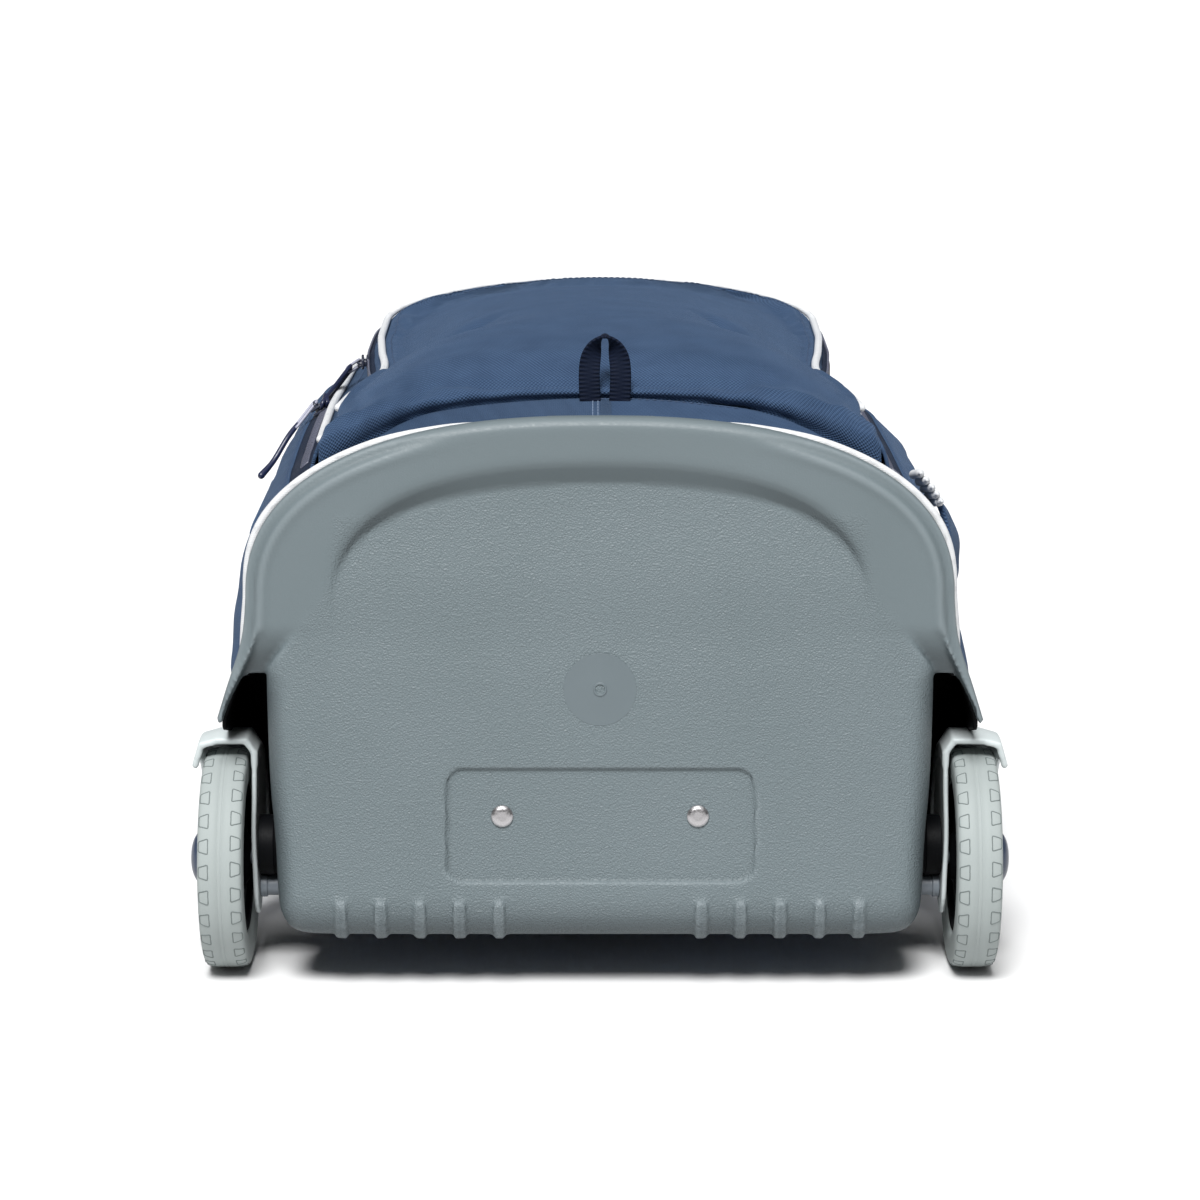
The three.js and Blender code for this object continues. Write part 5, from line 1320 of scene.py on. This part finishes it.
rim_line = np.array([(158.7, 148), (157.9, 162)] + half_arch(156.6, 79.6, 176, RIM_POWER)[::-1])
rim_line = np.concatenate([rim_line, rim_line[-2::-1] * [-1, 1]])
by_corner = ease(66, 100, np.abs(rim_line[:, 0])) * ease(178, 214, rim_line[:, 1])
outward = rim_line - (0, 176)
outward /= np.linalg.norm(outward, axis=1)[:, None]
rim_line += (1.7 * by_corner - 1.2 * ease(70, 52, np.abs(rim_line[:, 0])))[:, None] * outward
rim_line = even(np.column_stack([rim_line[:, 0], 0 * rim_line[:, 0] + 22.8, rim_line[:, 1]]), 3)
trim_tube("tray_edge_piping", rim_line, "tray_piping")

main_line = share_rows([PANEL_SHARE - 0.01, PANEL_SHARE], np.arange(114, END_START + 1, 4), 1.6)[1]
trim_tube("main_zip_piping", even(main_line, 4), "main_piping", 1.9)

pipe_line, pipe_out = pocket_line(90)
at_end = ease(FAR_ARC_Y, 438, pipe_line[:, 1])
pipe_line = pipe_line + 1.6 * pipe_out + np.outer(1.4 - 1.2 * at_end, (0, 0, 1))
trim_tube("pocket_edge_piping", pipe_line, "pocket_piping", 1.9 - 0.9 * at_end)

# %% [markdown]
# The haul loop is one length of webbing, folded over so that its two legs stand side by side on the
# seam. Its middle line is drawn once and mirrored; the webbing's width turns half round on the way over
# the top. A ring of points with thin rounded edges, carried along that line, makes the band.

# %% Haul loop
LOOP_X, BAND_HALF_WIDTH, BAND_HALF_THICKNESS = 2.2, 4.7, 0.85
LOOP_STEP, BAND_SIDES = 0.9, 28
loop_half = [(-6.4, 47, 257), (-6.8, 47, 264), (-7.0, 47.3, 272), (-6.2, 48, 279.5), (-3.6, 48.8, 286),
             (0, 49.2, 288.8)]
loop_line = smooth_line(loop_half + [(-x, y, z) for x, y, z in loop_half[-2::-1]], LOOP_STEP)
loop_run = np.linspace(0, 1, len(loop_line))
loop_turn = math.pi * ease(0.2, 0.8, loop_run)
wide = np.stack([-np.cos(loop_turn), -np.sin(loop_turn), 0 * loop_turn], 1)
heading = np.gradient(loop_line, axis=0)
wide -= np.sum(wide * heading, 1, keepdims=True) / np.sum(heading ** 2, 1, keepdims=True) * heading
wide /= np.linalg.norm(wide, axis=1)[:, None]
through = np.cross(heading, wide)
through /= np.linalg.norm(through, axis=1)[:, None]
edge_turns = np.linspace(0, 2 * math.pi, BAND_SIDES, endpoint=False)
band_across = np.sign(np.cos(edge_turns)) * np.abs(np.cos(edge_turns)) ** 0.35 * BAND_HALF_WIDTH
band_through = np.sign(np.sin(edge_turns)) * np.abs(np.sin(edge_turns)) ** 0.5 * BAND_HALF_THICKNESS
loop_rings = [p + np.outer(band_across, w) + np.outer(band_through, t) + np.array((LOOP_X, 0, 0))
              for p, w, t in zip(loop_line, wide, through)]
loop_rings = [np.broadcast_to(loop_rings[0].mean(0), (BAND_SIDES, 3))] + loop_rings
loop_rings.append(np.broadcast_to(loop_rings[-1].mean(0), (BAND_SIDES, 3)))
points, faces = rings_to_mesh(loop_rings)
loop = piece_from("haul_loop_band", points, faces)
loop_places = np.zeros((len(points), 3))
loop_places[1:-1, 0] = np.tile(band_across, len(loop_line))
loop_places[1:-1, 1] = np.repeat(np.arange(len(loop_line)) * LOOP_STEP, BAND_SIDES)
lay_threads(loop, loop_places * MM)
fit(loop, webbing, "dark_webbing", "haul_loop")
print("webbing:", round(len(loop_line) * LOOP_STEP), "mm long")

# %% [markdown]
# Each zip's coil is a row of small crossing bars on its tape. One bar, set along the middle of the tape
# by the path tree, is enough: at this size the eye reads the row, not the single turn of the coil.

# %% Zip coils
TOOTH_PITCH, TOOTH_HALF, TOOTH_RADIUS = 1.5, 2.4, 0.62
tooth_profile = [(-TOOTH_HALF, 0), (-TOOTH_HALF + 0.15, 0.4), (-TOOTH_HALF + 0.7, TOOTH_RADIUS),
                 (0, TOOTH_RADIUS * 0.8),
                 (TOOTH_HALF - 0.7, TOOTH_RADIUS), (TOOTH_HALF - 0.15, 0.4), (TOOTH_HALF, 0)]
tooth = turned(tooth_profile, (0, 0, 0.25), (0, 1, 0), 7)
coil_rows = share_rows(np.linspace(0.825, 0.86, 3), np.arange(60, END_START + 1, 3), 0.1 - ZIP_SINK)
main_coil = set_along("main_zip_coil", [(coil_rows[1], grid_normals(coil_rows)[1])], tooth, TOOTH_PITCH, coil_finish)
fit(main_coil, coil_finish, "zip_hardware")
pocket_coil = set_along("pocket_zip_coil", [(zip_grid[2] + 0.1 * zip_out, zip_out)], tooth, TOOTH_PITCH, coil_finish)
fit(pocket_coil, coil_finish, "zip_hardware")

# %% [markdown]
# A slider is two small metal plates, narrower at one end, on a core, with a bridge on the outer plate.
# The pull hangs from the bridge: first a pale link, then a dark moulded bar. Plates and core are rounded
# boxes turned to lie flat on the zip; bridge, link and bar are tubes along short lines.

# %% Sliders and pulls
def rounded_block(size, centre, along, up, taper=0.0, sides=20, rows=13):
    """A box with rounded corners; X is its width, Y its length along the zip, Z its height."""
    up = np.array(up, float) / np.linalg.norm(up)
    along = np.array(along, float) - np.dot(along, up) * up
    along /= np.linalg.norm(along)
    axes = np.array([np.cross(along, up), along, up])
    bend = np.linspace(-math.pi / 2, math.pi / 2, rows)
    rings = []
    for angle in bend:
        high = math.copysign(abs(math.sin(angle)) ** 0.4, angle)
        wide = max(math.cos(angle), 0) ** 0.4 if abs(angle) < 1.57 else 0
        turns = np.linspace(0, 2 * math.pi, sides, endpoint=False)
        c, s = np.cos(turns), np.sin(turns)
        y = np.sign(s) * np.abs(s) ** 0.4 * wide
        x = np.sign(c) * np.abs(c) ** 0.4 * wide * (1 - taper * y)
        local = np.stack([x * size[0], y * size[1], high + 0 * x], 1) / 2
        local[:, 2] *= size[2]
        rings.append(np.array(centre) + local @ axes)
    return rings_to_mesh(rings)


def oval_line(start, end, half_width, side):
    """A long closed loop between two points, as a link or a slotted bar has."""
    start, end, side = np.array(start, float), np.array(end, float), np.array(side, float)
    way = (end - start) / np.linalg.norm(end - start)
    side = side - np.dot(side, way) * way
    side /= np.linalg.norm(side)
    turns = np.linspace(-math.pi / 2, math.pi / 2, 9)
    far = [end + half_width * (math.cos(t) * way + math.sin(t) * side) for t in turns]
    near = [start - half_width * (math.cos(t) * way + math.sin(t) * side) for t in turns]
    return even(np.array(far + near + far[:1]), 0.6)


def merged(*shapes):
    points, faces = [], []
    for shape_points, shape_faces in shapes:
        faces += [[int(i) + len(points) for i in face] for face in shape_faces]
        points += list(shape_points)
    return np.array(points), faces


slider_finish = moulded("slider_dark_metal", (28, 33, 47), (47, 52, 68), 0.3, 2000, 0.00003, 0.6)


def zip_slider(name, centre, along, up, size, node):
    """Two plates, a core and a bridge; gives back the place where the pull hangs."""
    up, along, centre = (np.array(v, float) for v in (up, along, centre))
    width, length, height = size
    plates = [rounded_block((width, length, 1.5), centre + s * (height / 2 - 0.75) * up, along, up, 0.16)
              for s in (-1, 1)]
    core = rounded_block((width * 0.5, length * 0.7, height - 1), centre, along, up)
    top = centre + height / 2 * up
    bridge = tube(smooth_line([top - 3.4 * along - 0.4 * up, top - 2.6 * along + 1.6 * up, top + 2.6 * along + 1.6 * up,
                               top + 3.4 * along - 0.4 * up], 0.5), 0.75, 10)
    piece = piece_from(name, *merged(*plates, core, bridge))
    fit(piece, slider_finish, "zip_hardware", node)
    return top + 1.2 * up


SLIDER = (7, 11, 4)
SLIDER_SHARE, SLIDER_Y = 0.8525, 252
slider_rows = share_rows([SLIDER_SHARE - 0.01, SLIDER_SHARE, SLIDER_SHARE + 0.01], np.arange(240, 265, 3.0), 0)
slider_at = int(np.argmin(np.abs(slider_rows[1, -9:, 1] - SLIDER_Y))) - 9
slider_up = grid_normals(slider_rows)[1, slider_at]
slider_foot = slider_rows[1, slider_at]
hinge = zip_slider("main_zip_slider", slider_foot + 1.8 * slider_up, (0, 1, 0), slider_up, SLIDER, "main_zip_pull")
link_end = np.array((-151.5, 243, 219.5))
link_points = tube(oval_line(hinge + (-0.4, -0.4, 0.2), link_end, 1.7, (0, 1, 0.3)), 0.75, 10)
fit(piece_from("main_pull_link", *link_points), link_finish, "zip_hardware")
bar_line = smooth_line([link_end + (0.6, 1, 0.8), link_end + (-4, -6, -5), (-162, 230, 204), (-167.5, 222, 198)], 0.8)
bar_radius = np.interp(np.linspace(0, 1, len(bar_line)), [0, 0.1, 0.75, 1], [1.1, 1.35, 1.4, 1.75])
fit(piece_from("main_pull_bar", *tube(bar_line, bar_radius, 12)), pull_finish, "zip_hardware")

# %% [markdown]
# The pocket's zip has two sliders. The near one has a short link and a slotted pull, an oval loop with a
# thicker tip. The far one sits at the far corner and shows no pull. Both are placed from the zip's tape.

# %% Pocket slider, its slotted pull and the far slider
POCKET_SLIDER_Y = 300
near_row = np.argmin(np.abs(zip_line[:, 1] - POCKET_SLIDER_Y) + 999 * (zip_line[:, 0] > 0))
slider_out, slider_way = zip_out[near_row], np.cross((0, 0, 1), zip_out[near_row])
hinge = zip_slider("pocket_zip_slider", zip_grid[2, near_row] + 2.0 * slider_out, slider_way, slider_out, SLIDER,
                   "pocket_zip_pull")
link_end = hinge + np.array((-5, -9, -2.6))
link_points = tube(oval_line(hinge, link_end, 1.6, (0, 0, 1)), 0.75, 10)
fit(piece_from("pocket_pull_link", *link_points), link_finish, "zip_hardware")
bar_tip = np.array((-138.5, 248, 229.8))
slotted = merged(tube(oval_line(link_end + (0.5, 0.8, 0.2), bar_tip, 1.9, (0.3, 0, 1)), 1.05, 10),
                 rounded_block((4.6, 9, 2.2), bar_tip + (1.2, 3.8, 1.4), bar_tip - link_end, (-0.9, -0.3, 0.3)))
fit(piece_from("pocket_pull_bar", *slotted), pull_finish, "zip_hardware")

FAR_SLIDER_X, FAR_SLIDER = 80.8, (11, 11, 4)
far_row = np.argmin(np.abs(zip_line[:, 0] - FAR_SLIDER_X) + 999 * (zip_line[:, 1] < FAR_ARC_Y))
far_out, far_way = zip_out[far_row], np.cross((0, 0, 1), zip_out[far_row])
zip_slider("pocket_far_slider", zip_grid[2, far_row] + 2.0 * far_out, far_way, far_out, FAR_SLIDER,
           "pocket_zip_slider_far")

# %% [markdown]
# The side pouches are slack cloth sewn round three edges and open towards the top end of the bag. Their
# section is a bulge from the body's side, full near the middle and nothing at the seams, and it shrinks
# towards the closed end. A folded hem stands along the mouth and a bound edge along the upper seam.

# %% Side pouches
def side_width(y, z):
    reach = np.where(z > WAIST, body_top(y) - WAIST, WAIST - body_bottom(y))
    power = np.where(z > WAIST, FRONT_POWER, BACK_POWER)
    share = np.abs(z - WAIST) / reach
    return body_half(y) * np.maximum(1 - share ** power, 0) ** (1 / power)


def pouch_grid(side, low, high, fall, bulge, start, mouth, seed):
    share = np.linspace(0, 1, 34)[:, None]
    run = np.concatenate([[0, 0.004, 0.012, 0.026], np.linspace(0.045, 1, 40)])[None]
    y, z = start + run * (mouth - start) + 0 * share, low + share * (high - fall * run - low)
    swell = np.sin(np.minimum(run / 0.3, 1) * math.pi / 2) ** 0.7
    out = bulge * swell * np.sin(math.pi * share) ** 0.7
    grid = np.stack([side * (side_width(y, z) + 1.4 + out), y, z], -1)
    slack = swells(grid * [1, 0.35, 1], 13, 1.5, seed) + swells(grid, 34, 1.6, seed + 4)
    slack *= ease(0, 0.2, share) * ease(1, 0.8, share) * ease(0, 0.12, run) * ease(1.02, 0.9, run)
    grid[..., 0] += side * np.minimum(slack, 1.2)
    return grid


POUCHES = (("side_pocket_left", -1, 46, 186, 0, 14, 124, 300, (0.15, 0.178)),
           ("side_pocket_right", 1, 46, 147, 0, 15.8, 124, 300, (0.118, 0.178)),
           ("side_slip_pocket_right", 1, 149.5, 203, 16, 7, 112, 240, (0.062, 0.13)))
for number, (name, side, low, high, fall, bulge, start, mouth, flat) in enumerate(POUCHES):
    grid = pouch_grid(side, low, high, fall, bulge, start, mouth, 20 + number)
    pouch = cloth_from(name + "_cloth", grid, flat_places(grid), wall=1.4)
    fit(pouch, navy, "navy_cloth", name)
    mouth_line = even(grid[1:-1, -1] + (side * 0.4, 0, 0), 2)
    upper_line = even(grid[-1, 3:] + (side * 0.8, 0, -0.4), 3)
    closed_line = even(grid[1:-1, 0] + (side * 0.6, 0.5, 0), 3)
    for word, line, radius in (("hem", mouth_line, 1.5), ("edge", upper_line, 1.3), ("seam", closed_line, 1.2)):
        points, faces = tube(line, radius, 10)
        bound = piece_from(f"{name}_{word}", points, faces)
        lay_threads(bound, points[:, [1, 2, 0]] * MM)
        fit(bound, navy, "navy_cloth")

# %% [markdown]
# The white gather above the right pouches is a ruffled end of elastic: five soft rolls side by side.
# Each roll is a tube whose radius rises and falls in faint ribs and narrows to a tip at its near end.

# %% White gathered elastic
ROLLS, ROLL_TOP_Z, ROLL_PITCH, ROLL_STEP, ROLL_RADIUS, RIB_RISE = 5, 216, 3.3, 0.45, 2.15, 0.09
gather_rolls = []
for roll in range(ROLLS):
    z = ROLL_TOP_Z - roll * ROLL_PITCH
    x = float(side_width(117.0, z)) + 0.6
    lean = 0.5 + 0.3 * roll
    line = smooth_line([(x - 1, 128, z - 2.4), (x, 121, z - 1), (x + 0.5, 113, z + 0.4), (x + lean, 106.5, z + 1.6)],
                       ROLL_STEP)
    step = np.arange(len(line)) * ROLL_STEP
    radius = ROLL_RADIUS + RIB_RISE * np.sin(2 * math.pi * step / 2.1 + roll)
    radius *= 0.35 + 0.65 * ease(1.0, 0.8, np.linspace(0, 1, len(line)))
    gather_rolls.append(tube(line, radius, 14))
points, faces = merged(*gather_rolls)
gather = piece_from("white_gather", points, faces)
lay_threads(gather, points * MM)
fit(gather, white_trim, "white_trim", "gathered_elastic_right")

# %% [markdown]
# The pull handle lies pushed in at the top end, hidden in the photograph. It is kept plain: a rounded
# grip with shallow finger waves and moulded end caps, on two short oval legs that go into the bag.

# %% Pull handle
HANDLE_Z, GRIP_Y, GRIP_HALF, LEG_X = 24, 537, 61, 43
grip_x = np.concatenate([-GRIP_HALF + 8 * (1 - np.cos(np.linspace(0, math.pi / 2, 8))), np.linspace(-52, 52, 105),
                         GRIP_HALF - 8 * (1 - np.cos(np.linspace(math.pi / 2, 0, 8)))])
grip_round = np.sqrt(np.clip(1 - (np.maximum(np.abs(grip_x) - 53, 0) / 8) ** 2, 0, 1))
turns = np.linspace(0, 2 * math.pi, 32, endpoint=False)
grip_rings = []
for x, full in zip(grip_x, grip_round):
    wave = 0.5 * math.cos(2 * math.pi * x / 22) * float(ease(34, 24, abs(x)))
    y = GRIP_Y + full * (7.9 * np.cos(turns) - 0.6 + wave * np.clip(-np.cos(turns), 0, 1))
    grip_rings.append(np.stack([0 * y + x, y, HANDLE_Z + full * 7.6 * np.sin(turns)], 1))
shapes = [rings_to_mesh(grip_rings)]
for side in (-1, 1):
    legs = [np.stack([side * LEG_X + 5.8 * np.cos(turns), 0 * turns + y, HANDLE_Z + 5.2 * np.sin(turns)], 1)
            for y in (478, 500, 520, 529, 533)]
    cuff = [np.stack([side * LEG_X + r * np.cos(turns), 0 * turns + y, HANDLE_Z + 0.92 * r * np.sin(turns)], 1)
            for y, r in ((520, 5.7), (520.6, 6.9), (524, 7.4), (531, 7.5), (536, 7.0))]
    for rings in (legs, cuff):
        shapes.append(rings_to_mesh([np.broadcast_to(rings[0].mean(0), (32, 3))] + rings
                                    + [np.broadcast_to(rings[-1].mean(0), (32, 3))]))
fit(piece_from("handle_grip", *merged(*shapes)), black_finish, "black_plastic", "pull_handle")

# %% [markdown]
# Inside each wheel well a thin black wall closes the bag: a side wall, a roof, a back and a flank behind
# the rim's foot. As a field it is one bent line with a thickness, cut off front and back; the flank is
# also cut off round the wheel guard.

# %% Wheel well walls
LINER_SECTION = [(138.15, 28), (138.15, 140.85), (161, 140.85), (167.9, 120.5), (167.9, 28)]
LINER_BACK_OUTLINE = [(138, 11), (148, 11), (152, 20), (168.3, 24), (168.3, 120), (162, 140.8), (138, 140.8)]
LINER_HALF_WALL, LINER_FRONT_Y, LINER_BACK_Y = 1.1, 30.6, 118.7
FLANK_X, FLANK_FRONT_Y, FLANK_SLOPE, GUARD_ROOM = 156, 21.2, 0.24, 59.2


def liner_field(x, y, z):
    wall = line_distance(LINER_SECTION, x, z) - LINER_HALF_WALL
    front = np.where(x > FLANK_X, FLANK_FRONT_Y, LINER_FRONT_Y)
    wall = rounded_meet(wall, np.maximum(front - y, y - LINER_BACK_Y - LINER_HALF_WALL), 0.6)
    dy, dz = y - AXLE_Y, z - AXLE_Z
    over_guard = np.where(dy < 0, dz + FLANK_SLOPE * dy, np.hypot(dy, dz)) - GUARD_ROOM
    wall = rounded_meet(wall, np.where(x > FLANK_X, -over_guard, -9.0), 0.5)
    back = outline_distance(LINER_BACK_OUTLINE, x, z)
    back = rounded_meet(back, np.abs(y - LINER_BACK_Y) - LINER_HALF_WALL, 0.6)
    return soft_join(wall, back, 2)


points, faces = skin(liner_field, (136, 20, 9), (170, 121, 143), 1.2)
both_sides("well_wall", points, faces, black_finish, "black_plastic", "well_liner")

# %% [markdown]
# Seams show as rows of stitches. A stitch is a short thread that dips into the cloth at both ends; the
# path tree repeats it. Each seam line is first laid on the finished cloth by looking up the nearest
# point of its surface, so the thread sits on the folds and not above or below them.

# %% Stitches
def lay_on(piece, line, lift):
    """The nearest points on a piece's surface, raised a little, and the directions that stand on it."""
    tree = BVHTree.FromObject(piece, bpy.context.evaluated_depsgraph_get())
    laid, ups = [], []
    for p in place(line):
        spot, normal, _, _ = tree.find_nearest(Vector(p))
        laid.append(np.array(spot + lift * MM * normal) / MM + (0, TRAY_TO_MIDDLE, 0))
        ups.append(np.array(normal))
    return np.array(laid), np.array(ups)


STITCH, STITCH_PITCH, STITCH_RADIUS = 2.5, 3.2, 0.24
stitch_line = [(STITCH * t / 2, 0, 0.32 * (1 - t * t) - 0.14) for t in np.linspace(-1, 1, 5)]
stitch = tube(stitch_line, STITCH_RADIUS, 6, 1)


def sew(name, piece, lines, finish):
    paths = [lay_on(piece, even(line, 2), 0.1) for line in lines]
    seam = set_along(name, paths, stitch, STITCH_PITCH, finish)
    fit(seam, finish, "navy_cloth")


def front_line(plan):
    """Points of a line on the body's front, from their places on its plan."""
    return [(x, y, float(on_front(x, y))) for x, y in plan]


BAND_Y = 49.4
sew("band_seam", panel, [front_line([(x, y) for y in np.arange(27, 50, 2)]) for x in (-3.2, -0.9)], pale_thread)
sew("band_top_seam", panel, [front_line([(x, BAND_Y) for x in np.arange(1, 62, 2)])], navy_thread)
seam_rows = share_rows([PANEL_SHARE - 0.045, PANEL_SHARE - 0.04], np.arange(66, END_START + 1, 5), 0)
sew("panel_edge_seam", panel, [seam_rows[1]], navy_thread)
shell_seam = share_rows([ZIP_SHARE + 0.012, ZIP_SHARE + 0.013], np.arange(40, END_START + 1, 5), 0)
sew("shell_edge_seam", shell, [shell_seam[0]], navy_thread)
crown_seam, crown_out = pocket_line(180)
sew("crown_edge_seam", crown, [crown_seam - 4.5 * crown_out + np.array((0, 0, 4))], navy_thread)
